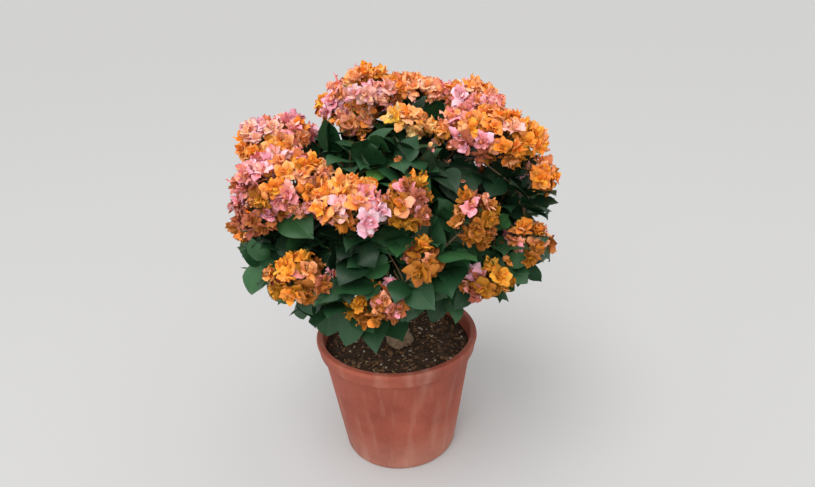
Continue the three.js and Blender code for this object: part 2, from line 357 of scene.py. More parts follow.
def catmull(points, count):
    """A centripetal Catmull-Rom curve through the points, sampled evenly along its length."""
    p = np.asarray(points, float)
    first = p[0] * 2 - p[1]
    last = p[-1] * 2 - p[-2]
    q = np.concatenate([[first], p, [last]])
    out = []
    for i in range(len(p) - 1):
        a, b, c, d = q[i : i + 4]
        t0 = 0.0
        t1 = t0 + max(np.linalg.norm(b - a), 1e-6) ** 0.5
        t2 = t1 + max(np.linalg.norm(c - b), 1e-6) ** 0.5
        t3 = t2 + max(np.linalg.norm(d - c), 1e-6) ** 0.5
        t = np.linspace(t1, t2, 40, endpoint=i == len(p) - 2)[:, None]
        a1 = (t1 - t) / (t1 - t0) * a + (t - t0) / (t1 - t0) * b
        a2 = (t2 - t) / (t2 - t1) * b + (t - t1) / (t2 - t1) * c
        a3 = (t3 - t) / (t3 - t2) * c + (t - t2) / (t3 - t2) * d
        b1 = (t2 - t) / (t2 - t0) * a1 + (t - t0) / (t2 - t0) * a2
        b2 = (t3 - t) / (t3 - t1) * a2 + (t - t1) / (t3 - t1) * a3
        out.append((t2 - t) / (t2 - t1) * b1 + (t - t1) / (t2 - t1) * b2)
    dense = np.concatenate(out)
    step = np.concatenate([[0], np.cumsum(np.linalg.norm(np.diff(dense, axis=0), axis=1))])
    want = np.linspace(0, step[-1], count)
    return np.stack([np.interp(want, step, dense[:, k]) for k in range(3)], 1)


# =====================================================================================
# Materials
# =====================================================================================
def srgb(text):
    c = np.array([int(text[i : i + 2], 16) / 255 for i in (0, 2, 4)])
    return tuple(float(x) for x in np.where(c <= 0.04045, c / 12.92, ((c + 0.055) / 1.055) ** 2.4))


def base_material(name, colour, roughness, specular=0.5):
    m = bpy.data.materials.new(name)
    m.use_nodes = True
    p = m.node_tree.nodes["Principled BSDF"]
    p.inputs["Base Color"].default_value = (*colour, 1)
    p.inputs["Roughness"].default_value = roughness
    p.inputs["Specular IOR Level"].default_value = specular
    m.diffuse_color = (*colour, 1)
    return m, m.node_tree, p


def add(nt, kind, **values):
    n = nt.nodes.new(kind)
    for k, v in values.items():
        if k in n.inputs:
            n.inputs[k].default_value = v
        else:
            setattr(n, k, v)
    return n


def veins(nt, p, along, across, strength, distance):
    """Fine parallel veins and a papery crinkle, laid out over the blade's own map."""
    uv = add(nt, "ShaderNodeUVMap", uv_map="OFBake")
    scale = add(nt, "ShaderNodeMapping")
    scale.inputs["Scale"].default_value = (across, along, 1)
    nt.links.new(uv.outputs["UV"], scale.inputs["Vector"])
    grain = add(nt, "ShaderNodeTexNoise")
    grain.inputs["Scale"].default_value = 4.0
    grain.inputs["Detail"].default_value = 3.0
    nt.links.new(scale.outputs["Vector"], grain.inputs["Vector"])
    bump = add(nt, "ShaderNodeBump")
    bump.inputs["Strength"].default_value = strength
    bump.inputs["Distance"].default_value = distance
    nt.links.new(grain.outputs["Fac"], bump.inputs["Height"])
    nt.links.new(bump.outputs["Normal"], p.inputs["Normal"])


def leaf_veins(nt, p):
    """Side veins that leave the midrib in pairs and sweep towards the tip, quilted between them."""
    uv = add(nt, "ShaderNodeUVMap", uv_map="OFBake")
    part = add(nt, "ShaderNodeSeparateXYZ")
    nt.links.new(uv.outputs["UV"], part.inputs["Vector"])

    def sum_up(kind, a, b):
        n = add(nt, "ShaderNodeMath", operation=kind)
        for k, v in enumerate((a, b)):
            if v is None:
                continue
            if isinstance(v, (int, float)):
                n.inputs[k].default_value = v
            else:
                nt.links.new(v, n.inputs[k])
        return n.outputs[0]

    aside = sum_up("ABSOLUTE", sum_up("SUBTRACT", part.outputs["X"], 0.5), None)
    along = sum_up("MULTIPLY", part.outputs["Y"], 5.5)
    swept = sum_up("SUBTRACT", along, sum_up("MULTIPLY", aside, 3.4))
    wave = sum_up("SINE", sum_up("MULTIPLY", swept, 2 * math.pi), None)
    sharp = sum_up("POWER", sum_up("ABSOLUTE", wave, None), 0.35)
    bump = add(nt, "ShaderNodeBump")
    bump.inputs["Strength"].default_value = 0.3
    bump.inputs["Distance"].default_value = 0.0006
    nt.links.new(sharp, bump.inputs["Height"])
    nt.links.new(bump.outputs["Normal"], p.inputs["Normal"])


# Bract colours, from the youngest to the oldest, dealt out by rosette, by bract and along each bract.
BRACT_COLOURS = [
    "E3D774", "F5D25E", "FAC24E", "FBB542", "F9AC3C", "F7A036", "F49634", "F3923C",
    "F4994C", "F6A260", "F7A974", "F6A684", "F59F90", "F39A9C", "F29BA8", "F3A8B8",
    "F6B8C8", "FACAD7", "FDDAE2",
]
# Painted shade and painted light: darker, browner copies of the bract colours for bracts in shade, and paler copies for
# bracts in light.
PAINTED_SHADE_COLOURS = ["B08A2C", "B17C20", "B0761C", "AE6E1C", "AC6A20", "AC682A", "AE6634", "B26446", "B86A58", "BE7870"]
PAINTED_LIGHT_COLOURS = ["FADCA0", "FACC8C", "F8B268", "F8AC6C", "F8B284", "F8BA9A", "F8BAAE", "F8BCC6", "FACCD8", "FCE2E8"]
BRACT_MATERIALS = []
for i, colour in enumerate(BRACT_COLOURS + PAINTED_SHADE_COLOURS + PAINTED_LIGHT_COLOURS):
    m, nt, p = base_material("bract_%02d" % i, srgb(colour), 0.6, 0.22)
    veins(nt, p, 1.2, 6.0, 0.4, 0.0006)
    p.inputs["Subsurface Weight"].default_value = 0.6
    p.inputs["Subsurface Radius"].default_value = (1.0, 0.55, 0.35)
    p.inputs["Subsurface Scale"].default_value = 0.004
    BRACT_MATERIALS.append(m)

LEAF_COLOURS = [
    ("leaf_shade", "14311C", 0.50),
    ("leaf_deep", "1B4124", 0.50),
    ("leaf_dark", "224829", 0.48),
    ("leaf_green", "2C5831", 0.48),
    ("leaf_mid", "3A6838", 0.48),
    ("leaf_fresh", "54863F", 0.5),
    ("leaf_young", "86AE52", 0.5),
    ("leaf_tender", "A9C566", 0.52),
]
LEAF_MATERIALS = []
for name, colour, rough in LEAF_COLOURS:
    m, nt, p = base_material(name, srgb(colour), rough, 0.35)
    leaf_veins(nt, p)
    LEAF_MATERIALS.append(m)

m_twig_old, nt, p = base_material("twig_bark", srgb("62543F"), 0.8, 0.3)
m_twig_green, nt, p = base_material("twig_green", srgb("4C6634"), 0.6, 0.4)
m_twig_red, nt, p = base_material("twig_red", srgb("66492F"), 0.7, 0.35)


def bark_material():
    m, nt, p = base_material("bark", srgb("7E6B57"), 0.86, 0.25)
    tex = add(nt, "ShaderNodeTexCoord")
    stretch = add(nt, "ShaderNodeMapping")
    stretch.inputs["Scale"].default_value = (1, 1, 0.35)
    nt.links.new(tex.outputs["Object"], stretch.inputs["Vector"])
    big = add(nt, "ShaderNodeTexNoise")
    big.inputs["Scale"].default_value = 90
    big.inputs["Detail"].default_value = 5
    nt.links.new(stretch.outputs["Vector"], big.inputs["Vector"])
    fine = add(nt, "ShaderNodeTexNoise")
    fine.inputs["Scale"].default_value = 420
    fine.inputs["Detail"].default_value = 6
    fine.inputs["Roughness"].default_value = 0.65
    nt.links.new(stretch.outputs["Vector"], fine.inputs["Vector"])
    ramp = add(nt, "ShaderNodeValToRGB")
    e = ramp.color_ramp.elements
    e[0].position, e[0].color = 0.28, (*srgb("4E3F30"), 1)
    e[1].position, e[1].color = 0.74, (*srgb("B7A58A"), 1)
    mid = ramp.color_ramp.elements.new(0.5)
    mid.color = (*srgb("857059"), 1)
    mix = add(nt, "ShaderNodeMath", operation="MULTIPLY_ADD")
    mix.inputs[1].default_value = 0.6
    nt.links.new(fine.outputs["Fac"], mix.inputs[0])
    part = add(nt, "ShaderNodeMath", operation="MULTIPLY")
    part.inputs[1].default_value = 0.4
    nt.links.new(big.outputs["Fac"], part.inputs[0])
    nt.links.new(part.outputs[0], mix.inputs[2])
    nt.links.new(mix.outputs[0], ramp.inputs["Fac"])
    nt.links.new(ramp.outputs["Color"], p.inputs["Base Color"])
    bump = add(nt, "ShaderNodeBump")
    bump.inputs["Strength"].default_value = 0.7
    bump.inputs["Distance"].default_value = 0.0012
    nt.links.new(mix.outputs[0], bump.inputs["Height"])
    nt.links.new(bump.outputs["Normal"], p.inputs["Normal"])
    return m


def pot_material():
    m, nt, p = base_material("pot_terracotta", srgb("9C4B38"), 0.62, 0.35)
    tex = add(nt, "ShaderNodeTexCoord")
    broad = add(nt, "ShaderNodeTexNoise")
    broad.inputs["Scale"].default_value = 9
    broad.inputs["Detail"].default_value = 6
    broad.inputs["Roughness"].default_value = 0.6
    nt.links.new(tex.outputs["Object"], broad.inputs["Vector"])
    streak_map = add(nt, "ShaderNodeMapping")
    streak_map.inputs["Scale"].default_value = (46, 46, 3.0)
    nt.links.new(tex.outputs["Object"], streak_map.inputs["Vector"])
    streak = add(nt, "ShaderNodeTexNoise")
    streak.inputs["Scale"].default_value = 1.0
    streak.inputs["Detail"].default_value = 4
    nt.links.new(streak_map.outputs["Vector"], streak.inputs["Vector"])
    speck = add(nt, "ShaderNodeTexNoise")
    speck.inputs["Scale"].default_value = 700
    speck.inputs["Detail"].default_value = 3
    nt.links.new(tex.outputs["Object"], speck.inputs["Vector"])
    clay = add(nt, "ShaderNodeValToRGB")
    e = clay.color_ramp.elements
    e[0].position, e[0].color = 0.25, (*srgb("7E3627"), 1)
    e[1].position, e[1].color = 0.75, (*srgb("B4604A"), 1)
    nt.links.new(broad.outputs["Fac"], clay.inputs["Fac"])
    grains = add(nt, "ShaderNodeMixRGB", blend_type="MULTIPLY")
    grains.inputs["Fac"].default_value = 0.5
    g = add(nt, "ShaderNodeValToRGB")
    g.color_ramp.elements[0].position, g.color_ramp.elements[0].color = 0.32, (0.55, 0.5, 0.48, 1)
    g.color_ramp.elements[1].position, g.color_ramp.elements[1].color = 0.6, (1, 1, 1, 1)
    nt.links.new(speck.outputs["Fac"], g.inputs["Fac"])
    nt.links.new(clay.outputs["Color"], grains.inputs["Color1"])
    nt.links.new(g.outputs["Color"], grains.inputs["Color2"])
    # Pale lime bloom in runs down the wall, more of it near the foot.
    place = add(nt, "ShaderNodeSeparateXYZ")
    nt.links.new(tex.outputs["Object"], place.inputs["Vector"])
    foot = add(nt, "ShaderNodeMapRange")
    foot.inputs["From Min"].default_value = 0.075
    foot.inputs["From Max"].default_value = 0.0
    foot.inputs["To Min"].default_value = 0.0
    foot.inputs["To Max"].default_value = 0.5
    nt.links.new(place.outputs["Z"], foot.inputs["Value"])
    runs = add(nt, "ShaderNodeMapRange")
    runs.inputs["From Min"].default_value = 0.5
    runs.inputs["From Max"].default_value = 0.8
    runs.inputs["To Max"].default_value = 0.3
    nt.links.new(streak.outputs["Fac"], runs.inputs["Value"])
    bloom = add(nt, "ShaderNodeMath", operation="MULTIPLY_ADD")
    nt.links.new(foot.outputs["Result"], bloom.inputs[0])
    nt.links.new(broad.outputs["Fac"], bloom.inputs[1])
    nt.links.new(runs.outputs["Result"], bloom.inputs[2])
    bloom.use_clamp = True
    pale = add(nt, "ShaderNodeMixRGB", blend_type="MIX")
    pale.inputs["Color2"].default_value = (*srgb("C9A493"), 1)
    nt.links.new(bloom.outputs[0], pale.inputs["Fac"])
    nt.links.new(grains.outputs["Color"], pale.inputs["Color1"])
    nt.links.new(pale.outputs["Color"], p.inputs["Base Color"])
    rough = add(nt, "ShaderNodeMapRange")
    rough.inputs["To Min"].default_value = 0.5
    rough.inputs["To Max"].default_value = 0.82
    nt.links.new(broad.outputs["Fac"], rough.inputs["Value"])
    nt.links.new(rough.outputs["Result"], p.inputs["Roughness"])
    bump = add(nt, "ShaderNodeBump")
    bump.inputs["Strength"].default_value = 0.35
    bump.inputs["Distance"].default_value = 0.0006
    nt.links.new(speck.outputs["Fac"], bump.inputs["Height"])
    wide = add(nt, "ShaderNodeBump")
    wide.inputs["Strength"].default_value = 0.25
    wide.inputs["Distance"].default_value = 0.002
    nt.links.new(broad.outputs["Fac"], wide.inputs["Height"])
    nt.links.new(bump.outputs["Normal"], wide.inputs["Normal"])
    nt.links.new(wide.outputs["Normal"], p.inputs["Normal"])
    return m


def compost_material():
    m, nt, p = base_material("compost", srgb("3A2B21"), 0.95, 0.2)
    tex = add(nt, "ShaderNodeTexCoord")
    n = add(nt, "ShaderNodeTexNoise")
    n.inputs["Scale"].default_value = 160
    n.inputs["Detail"].default_value = 8
    n.inputs["Roughness"].default_value = 0.7
    nt.links.new(tex.outputs["Object"], n.inputs["Vector"])
    ramp = add(nt, "ShaderNodeValToRGB")
    e = ramp.color_ramp.elements
    e[0].position, e[0].color = 0.3, (*srgb("1F1611"), 1)
    e[1].position, e[1].color = 0.72, (*srgb("5A4535"), 1)
    nt.links.new(n.outputs["Fac"], ramp.inputs["Fac"])
    nt.links.new(ramp.outputs["Color"], p.inputs["Base Color"])
    bump = add(nt, "ShaderNodeBump")
    bump.inputs["Strength"].default_value = 0.9
    bump.inputs["Distance"].default_value = 0.002
    nt.links.new(n.outputs["Fac"], bump.inputs["Height"])
    nt.links.new(bump.outputs["Normal"], p.inputs["Normal"])
    return m


# =====================================================================================
# Pot and compost
# =====================================================================================
SLOPE = (POT_RIM_RADIUS - RIM_BAND_PROUD - POT_BASE_RADIUS) / POT_HEIGHT


def wall(z):
    return POT_BASE_RADIUS + SLOPE * z


def lathe(profile, sides, wobble=0.0, seed=0.0):
    """A turned surface; the profile starts and ends on the axis."""
    v = [(0.0, 0.0, profile[0][1])]
    for r, z in profile[1:-1]:
        for k in range(sides):
            a = 2 * math.pi * k / sides
            rr = r * (1 + wobble * noise.noise(Vector((math.cos(a) * 1.6 + seed, math.sin(a) * 1.6, z * 0.012))))
            v.append((rr * math.cos(a), rr * math.sin(a), z))
    v.append((0.0, 0.0, profile[-1][1]))
    rings = len(profile) - 2
    t = []
    for k in range(sides):
        j = (k + 1) % sides
        t.append((0, 1 + j, 1 + k))
        for i in range(rings - 1):
            a, b = 1 + i * sides + k, 1 + i * sides + j
            c, d = a + sides, b + sides
            t.append((a, b, d))
            t.append((a, d, c))
        e = 1 + (rings - 1) * sides
        t.append((e + k, e + j, len(v) - 1))
    return np.array(v), np.array(t)


def rounded(profile, radius, steps):
    """Rounds the corners of a profile."""
    out = [profile[0]]
    for i in range(1, len(profile) - 1):
        p, q, r = (np.array(profile[j], float) for j in (i - 1, i, i + 1))
        a, b = p - q, r - q
        la, lb = np.linalg.norm(a), np.linalg.norm(b)
        d = min(radius, la * 0.45, lb * 0.45)
        s, e = q + a / la * d, q + b / lb * d
        for k in range(steps + 1):
            t = k / steps
            out.append(tuple((1 - t) ** 2 * s + 2 * t * (1 - t) * q + t * t * e))
    out.append(profile[-1])
    return out


band_foot = POT_HEIGHT - RIM_BAND_HEIGHT
pot_profile = [
    (0, 0),
    (POT_BASE_RADIUS - 1, 0),
    (wall(4), 4),
    (wall(60), 60),
    (wall(120), 120),
    (wall(band_foot) + 0.2, band_foot),
    (wall(band_foot) + RIM_BAND_PROUD - 0.4, band_foot + 1),
    (wall(band_foot) + RIM_BAND_PROUD + 0.4, band_foot + 8),
    (POT_RIM_RADIUS - 1.4, POT_HEIGHT - 9),
    (POT_RIM_RADIUS - 0.2, POT_HEIGHT - 5),
    (POT_RIM_RADIUS - 1.6, POT_HEIGHT - 0.4),
    (wall(POT_HEIGHT) - POT_WALL - 0.2, POT_HEIGHT - 0.2),
    (wall(POT_HEIGHT - 8) - POT_WALL, POT_HEIGHT - 8),
    (wall(90) - POT_WALL, 90),
    (wall(POT_FLOOR) - POT_WALL, POT_FLOOR),
    (0, POT_FLOOR),
]
pv, pt = lathe(rounded(pot_profile, 1.6, 3), 144, 0.0022, 3.1)
pot = new_piece("pot_body", pv * MM, pt, [pot_material()])
bpy.context.view_layer.update()
# Drainage holes
cutters = []
for i in range(DRAIN_HOLES):
    turn = 2 * math.pi * (i + 0.5) / DRAIN_HOLES
    bm = bmesh.new()
    bmesh.ops.create_cone(bm, cap_ends=True, segments=24, radius1=DRAIN_RADIUS * MM, radius2=DRAIN_RADIUS * MM, depth=0.02)
    cut_me = bpy.data.meshes.new("drain")
    bm.to_mesh(cut_me)
    bm.free()
    cutter = bpy.data.objects.new("drain", cut_me)
    cutter.location = (DRAIN_CIRCLE * MM * math.cos(turn), DRAIN_CIRCLE * MM * math.sin(turn), 0.0025)
    bpy.context.scene.collection.objects.link(cutter)
    mod = pot.modifiers.new("drain%d" % i, "BOOLEAN")
    mod.object, mod.operation, mod.solver = cutter, "DIFFERENCE", "EXACT"
    cutters.append(cutter)


def apply_modifiers(ob):
    bpy.context.view_layer.update()
    dg = bpy.context.evaluated_depsgraph_get()
    me = bpy.data.meshes.new_from_object(ob.evaluated_get(dg), depsgraph=dg)
    ob.modifiers.clear()
    old = ob.data
    ob.data = me
    me.name = old.name
    bpy.data.meshes.remove(old)


apply_modifiers(pot)
for cutter in cutters:
    bpy.data.objects.remove(cutter)
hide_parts("pot")
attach(pot, "root")

# Compost: a lumpy top on the same body, with crumbs of bark and grit on it.
rng = np.random.default_rng(11)
SOIL_RINGS, SOIL_SIDES = 46, 150
inner_at = lambda z: wall(z) - POT_WALL - 0.7
edge = SOIL_LEVEL - SOIL_EDGE_DROP


def soil_height(x, y):
    r = math.hypot(x, y)
    z = SOIL_LEVEL - 1.2 - (SOIL_EDGE_DROP - 1.0) * max(0.0, (r - 60) / 54) ** 1.5
    lump = noise.noise(Vector((x * 0.045, y * 0.045, 2.3))) * 1.9
    lump += noise.noise(Vector((x * 0.14, y * 0.14, 7.7))) * 1.0
    lump += noise.noise(Vector((x * 0.42, y * 0.42, 1.1))) * 0.45
    near = math.exp(-(((x - 3) ** 2 + (y + 2) ** 2) / 34.0**2))
    return z + lump * (1 - 0.4 * near) + 1.6 * near


sv = [(0.0, 0.0, soil_height(0, 0))]
for i in range(1, SOIL_RINGS + 1):
    r = inner_at(edge) * (i / SOIL_RINGS) ** 0.85
    for k in range(SOIL_SIDES):
        a = 2 * math.pi * (k + 0.5 * (i % 2)) / SOIL_SIDES
        x, y = r * math.cos(a), r * math.sin(a)
        sv.append((x, y, soil_height(x, y)))
for r, z in ((inner_at(150), 150), (inner_at(POT_FLOOR + 1), POT_FLOOR + GAP)):
    for k in range(SOIL_SIDES):
        a = 2 * math.pi * (k + 0.5 * (SOIL_RINGS % 2)) / SOIL_SIDES
        sv.append((r * math.cos(a), r * math.sin(a), z))
sv.append((0.0, 0.0, POT_FLOOR + GAP))
stt = []
for k in range(SOIL_SIDES):
    j = (k + 1) % SOIL_SIDES
    stt.append((0, 1 + k, 1 + j))
    for i in range(SOIL_RINGS + 1):
        a, b = 1 + i * SOIL_SIDES + k, 1 + i * SOIL_SIDES + j
        stt.append((a, a + SOIL_SIDES, b + SOIL_SIDES))
        stt.append((a, b + SOIL_SIDES, b))
    e = 1 + (SOIL_RINGS + 1) * SOIL_SIDES
    stt.append((e + k, len(sv) - 1, e + j))
compost = new_piece("compost_bed", np.array(sv) * MM, stt, [compost_material()])
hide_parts("compost")
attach(compost, "root")

crumb_colours = [("crumb_dark", "33251C"), ("crumb_brown", "5B4330"), ("crumb_bark", "7A5A3F"), ("crumb_grit", "B9AE9C"), ("crumb_straw", "94805E")]
crumb_mats = [base_material(n, srgb(c), 0.92, 0.25)[0] for n, c in crumb_colours]
ico_v, ico_t = None, None
bm = bmesh.new()
bmesh.ops.create_icosphere(bm, subdivisions=1, radius=1.0)
bm.verts.ensure_lookup_table()
ico_v = np.array([v.co[:] for v in bm.verts])
ico_t = np.array([[v.index for v in f.verts] for f in bm.faces])
bm.free()
cv, ct, cs = [], [], []
count = 1500
for i in range(count):
    r = inner_at(edge) * math.sqrt(rng.uniform(0, 0.985))
    a = rng.uniform(0, 2 * math.pi)
    x, y = r * math.cos(a), r * math.sin(a)
    kind = rng.choice(5, p=[0.42, 0.27, 0.17, 0.06, 0.08])
    size = rng.uniform(0.7, 2.0) * (1.5 if kind in (1, 2) else 1.0)
    shape = np.array([size * rng.uniform(0.8, 2.2), size * rng.uniform(0.7, 1.3), size * rng.uniform(0.35, 0.8)])
    if math.hypot(x, y) + shape[0] * 1.3 > inner_at(edge):
        continue
    v = ico_v * (1 + rng.uniform(-0.3, 0.3, (len(ico_v), 1))) * shape
    q = Matrix.Rotation(rng.uniform(0, 6.28), 3, "Z") @ Matrix.Rotation(rng.normal(0, 0.35), 3, "X")
    v = v @ np.array(q).T + np.array([x, y, soil_height(x, y) + shape[2] * 0.35])
    ct.append(ico_t + len(ico_v) * len(cv))
    cv.append(v)
    cs.append(np.full(len(ico_t), kind))
crumbs = new_piece("compost_crumbs", np.concatenate(cv) * MM, np.concatenate(ct), crumb_mats, np.concatenate(cs), smooth=False)
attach(crumbs, "root")

# =====================================================================================
# Trunk and boughs with bark relief
# =====================================================================================
FOOT = np.array([3.0, -2.0, SOIL_LEVEL + GAP])
FORK = np.array([FOOT[0] + TRUNK_LEAN[0], FOOT[1] + TRUNK_LEAN[1], TRUNK_FORK_HEIGHT])
trunk_line = catmull(
    [FOOT, FOOT + (-1, 1, 18), FOOT + (FORK - FOOT) * 0.62 + (1.5, -1, 0), FORK], 30
)


def bough_points(row):
    name, bearing, into, rise, spread = row
    b = math.radians(bearing)
    side = np.array([math.cos(b), math.sin(b), 0.0])
    start = FORK + side * TRUNK_FORK_RADIUS * 0.45 + (0, 0, -7)
    end = BY_NAME[into].centre
    span = np.linalg.norm(end - start)
    knee = start + side * span * spread + (0, 0, span * rise)
    roll = dice(seed_of("bough" + name))
    kink = lambda: (roll() - 0.5) * 9
    past = knee * 0.5 + end * 0.5 + np.array([kink(), kink(), 6 + kink()])
    return [start, knee, past, end]


bough_lines = {row[0]: catmull(bough_points(row), 48) for row in BOUGHS}


def limb_mesh(line, radius_at, sides):
    """A closed limb round a line; radius_at takes the share of the length and the turn."""
    tangent = unit(np.gradient(line, axis=0))
    e1, _ = frame_for(tangent[0])
    v = []
    n = len(line)
    for i, (p, t) in enumerate(zip(line, tangent)):
        e1 = unit(e1 - t * (e1 @ t))
        e2 = np.cross(t, e1)
        for k in range(sides):
            a = 2 * math.pi * k / sides
            v.append(p + radius_at(i / (n - 1), a, p) * (math.cos(a) * e1 + math.sin(a) * e2))
    t = []
    for i in range(n - 1):
        for k in range(sides):
            j = (k + 1) % sides
            a, b = i * sides + k, i * sides + j
            t += [(a, b, b + sides), (a, b + sides, a + sides)]
    v.append(line[0])
    v.append(line[-1] + tangent[-1] * 1.5)
    for k in range(sides):
        j = (k + 1) % sides
        t.append((len(v) - 2, j, k))
        e = (n - 1) * sides
        t.append((e + k, e + j, len(v) - 1))
    return np.array(v), np.array(t)


def trunk_radius(t, a, p):
    up = t * (TRUNK_FORK_HEIGHT - SOIL_LEVEL)
    flare = TRUNK_FLARE * math.exp(-((up / TRUNK_FLARE_HEIGHT) ** 2) * 2.2)
    flare *= 1 + 0.4 * math.cos(3 * a + 0.6) + 0.22 * math.cos(5 * a)
    ribs = 0.5 * math.cos(4 * a + p[2] * 0.05) + 0.35 * math.cos(7 * a - p[2] * 0.03)
    return TRUNK_BASE_RADIUS + (TRUNK_FORK_RADIUS - TRUNK_BASE_RADIUS) * t + flare + ribs


wood_v, wood_t, n0 = [], [], 0
trunk_down = np.concatenate([[trunk_line[0] - (0, 0, 3.0)], trunk_line, [trunk_line[-1] + (-0.5, 0.3, 4.0)]])
for line, radius, sides in [(trunk_down, lambda t, a, p: trunk_radius(min(max((t * 31 - 1) / 29, 0), 1), a, p) * (1 if t < 0.97 else 0.8), 28)] + [
    (
        line,
        lambda t, a, p: (BOUGH_BASE_RADIUS + 1.8 * math.exp(-t * 14)) * (1 - t) + BOUGH_TIP_RADIUS * t + 0.3 * math.sin(3 * a + t * 9),
        14,
    )
    for line in bough_lines.values()
]:
    v, t = limb_mesh(line, radius, sides)
    wood_v.append(v)
    wood_t.append(t + n0)
    n0 += len(v)
wood = new_piece("trunk_and_boughs", np.concatenate(wood_v) * MM, np.concatenate(wood_t), [bark_material()])
remesh = wood.modifiers.new("join", "REMESH")
remesh.mode, remesh.voxel_size, remesh.use_smooth_shade = "VOXEL", 0.00115, True
smooth = wood.modifiers.new("soften", "SMOOTH")
smooth.factor, smooth.iterations = 0.5, 3
apply_modifiers(wood)
me = wood.data
co = np.empty(len(me.vertices) * 3, np.float32)
me.vertices.foreach_get("co", co)
co = co.reshape(-1, 3).astype(float)
nor = np.empty(len(me.vertices) * 3, np.float32)
me.vertices.foreach_get("normal", nor)
nor = nor.reshape(-1, 3).astype(float)
relief = np.empty(len(co))
for i, p in enumerate(co / MM):
    a = noise.ridged_multi_fractal(Vector((p[0] * 0.11, p[1] * 0.11, p[2] * 0.035)), 0.9, 2.1, 4, 1.0, 1.6)
    b = noise.noise(Vector((p[0] * 0.5, p[1] * 0.5, p[2] * 0.5)))
    c = noise.noise(Vector((p[0] * 0.05, p[1] * 0.05, p[2] * 0.16)))
    relief[i] = (a - 1.1) * 0.42 + b * 0.22 + c * 0.5
co += nor * relief[:, None] * MM * np.clip((co[:, 2:3] / MM - SOIL_LEVEL + 6) / 10, 0.3, 1)
low = (SOIL_LEVEL + GAP - 1.2) * MM
co[:, 2] = np.maximum(co[:, 2], low)
me.vertices.foreach_set("co", co.astype(np.float32).ravel())
me.polygons.foreach_set("use_smooth", np.full(len(me.polygons), True))
me.update()
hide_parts("trunk", *["bough_" + row[0] for row in BOUGHS])
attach(wood, "root")

# =====================================================================================
# The branching rule: stems grow on from the boughs to every truss and leafy shoot
# =====================================================================================
twigs = Tubes()
rng = np.random.default_rng(2026)

node_at, node_dir, node_size = [], [], []  # where a new twig may start


def remember(line, radii, skip=0.0):
    d = unit(np.gradient(line, axis=0))
    for i in range(int(len(line) * skip), len(line)):
        node_at.append(line[i])
        node_dir.append(d[i])
        node_size.append(radii[i])


for line in bough_lines.values():
    remember(line, np.linspace(BOUGH_BASE_RADIUS, BOUGH_TIP_RADIUS, len(line)), 0.45)


def start_for(target, heading, longest=1e9):
    """The best place on the wood so far for a twig to a target: near, below it and not doubling back."""
    at, d = np.array(node_at), np.array(node_dir)
    chord = target - at
    far = np.linalg.norm(chord, axis=1)
    way = chord / np.maximum(far, 1e-6)[:, None]
    bend = 1 - np.sum(way * d, axis=1)
    arrive = 1 - way @ heading
    inward = np.linalg.norm(at - FORK, axis=1) / max(np.linalg.norm(target - FORK), 1e-6)
    cost = far * (1 + 0.45 * bend + 0.35 * arrive) + 60 * np.clip(inward - 0.92, 0, None) + np.where(far < 14, 40, 0)
    i = int(np.argmin(cost))
    return at[i], d[i], node_size[i]


def hermite(p0, d0, p1, d1, count, wobble=0.0):
    far = np.linalg.norm(p1 - p0)
    t = np.linspace(0, 1, count)[:, None]
    h = (
        (2 * t**3 - 3 * t**2 + 1) * p0
        + (t**3 - 2 * t**2 + t) * d0 * far * 0.9
        + (-2 * t**3 + 3 * t**2) * p1
        + (t**3 - t**2) * d1 * far * 0.8
    )
    if wobble:
        side = rng.normal(0, wobble, 3)
        side2 = rng.normal(0, wobble, 3)
        h = h + np.sin(t * math.pi) * side + np.sin(t * 2 * math.pi) * side2 * 0.6
    return h


leaf_at, leaf_dir, leaf_up, leaf_size, leaf_age_and_shade = [], [], [], [], []
SEEN = 14  # the first trusses are the ones that the photograph shows


def hides_truss(p, core=0.92):
    """Which points lie before one of the seen trusses, as the camera looks."""
    p = np.atleast_2d(p)
    ray = unit(p - CAM_AT / MM)
    steps = np.arange(4.0, 200.0, 9.0)
    along = p[:, None, :] + ray[:, None, :] * steps[None, :, None]
    hidden = np.zeros(len(p), bool)
    for m in FLOWERS[:SEEN]:
        hidden |= (m.how_deep(along.reshape(-1, 3)).reshape(len(p), -1) < core).any(1)
    return hidden


def leaves_along(line, first, last, gap, size, age=0.0, seed_turn=0.0, droop=0.3):
    """Alternate leaves along a twig, each turned out to the light."""
    step = np.concatenate([[0], np.cumsum(np.linalg.norm(np.diff(line, axis=0), axis=1))])
    d = unit(np.gradient(line, axis=0))
    s = first * step[-1]
    turn = seed_turn
    while s < last * step[-1]:
        p = np.array([np.interp(s, step, line[:, k]) for k in range(3)])
        t = unit(np.array([np.interp(s, step, d[:, k]) for k in range(3)]))
        e1, e2 = frame_for(t)
        away = math.cos(turn) * e1 + math.sin(turn) * e2
        out = unit(p - CROWN_CENTRE + np.array([0, 0, 40.0]))
        a = unit(away * 0.75 + out * 0.45 + t * 0.35 - np.array([0, 0, droop]) + rng.normal(0, 0.16, 3))
        up = unit(out * 0.55 + np.array([0, 0, 0.75]) + away * 0.1 + rng.normal(0, 0.22, 3))
        leaf_at.append(p)
        leaf_dir.append(a)
        leaf_up.append(up)
        leaf_size.append(size * rng.uniform(0.78, 1.15))
        leaf_age_and_shade.append(age + rng.uniform(-0.12, 0.12))
        turn += 2.4 + rng.normal(0, 0.25)
        s += gap * rng.uniform(0.8, 1.25)


# ---- where the rosettes sit ----
ros_at, ros_axis, ros_size, ros_mass, ros_inner = [], [], [], [], []
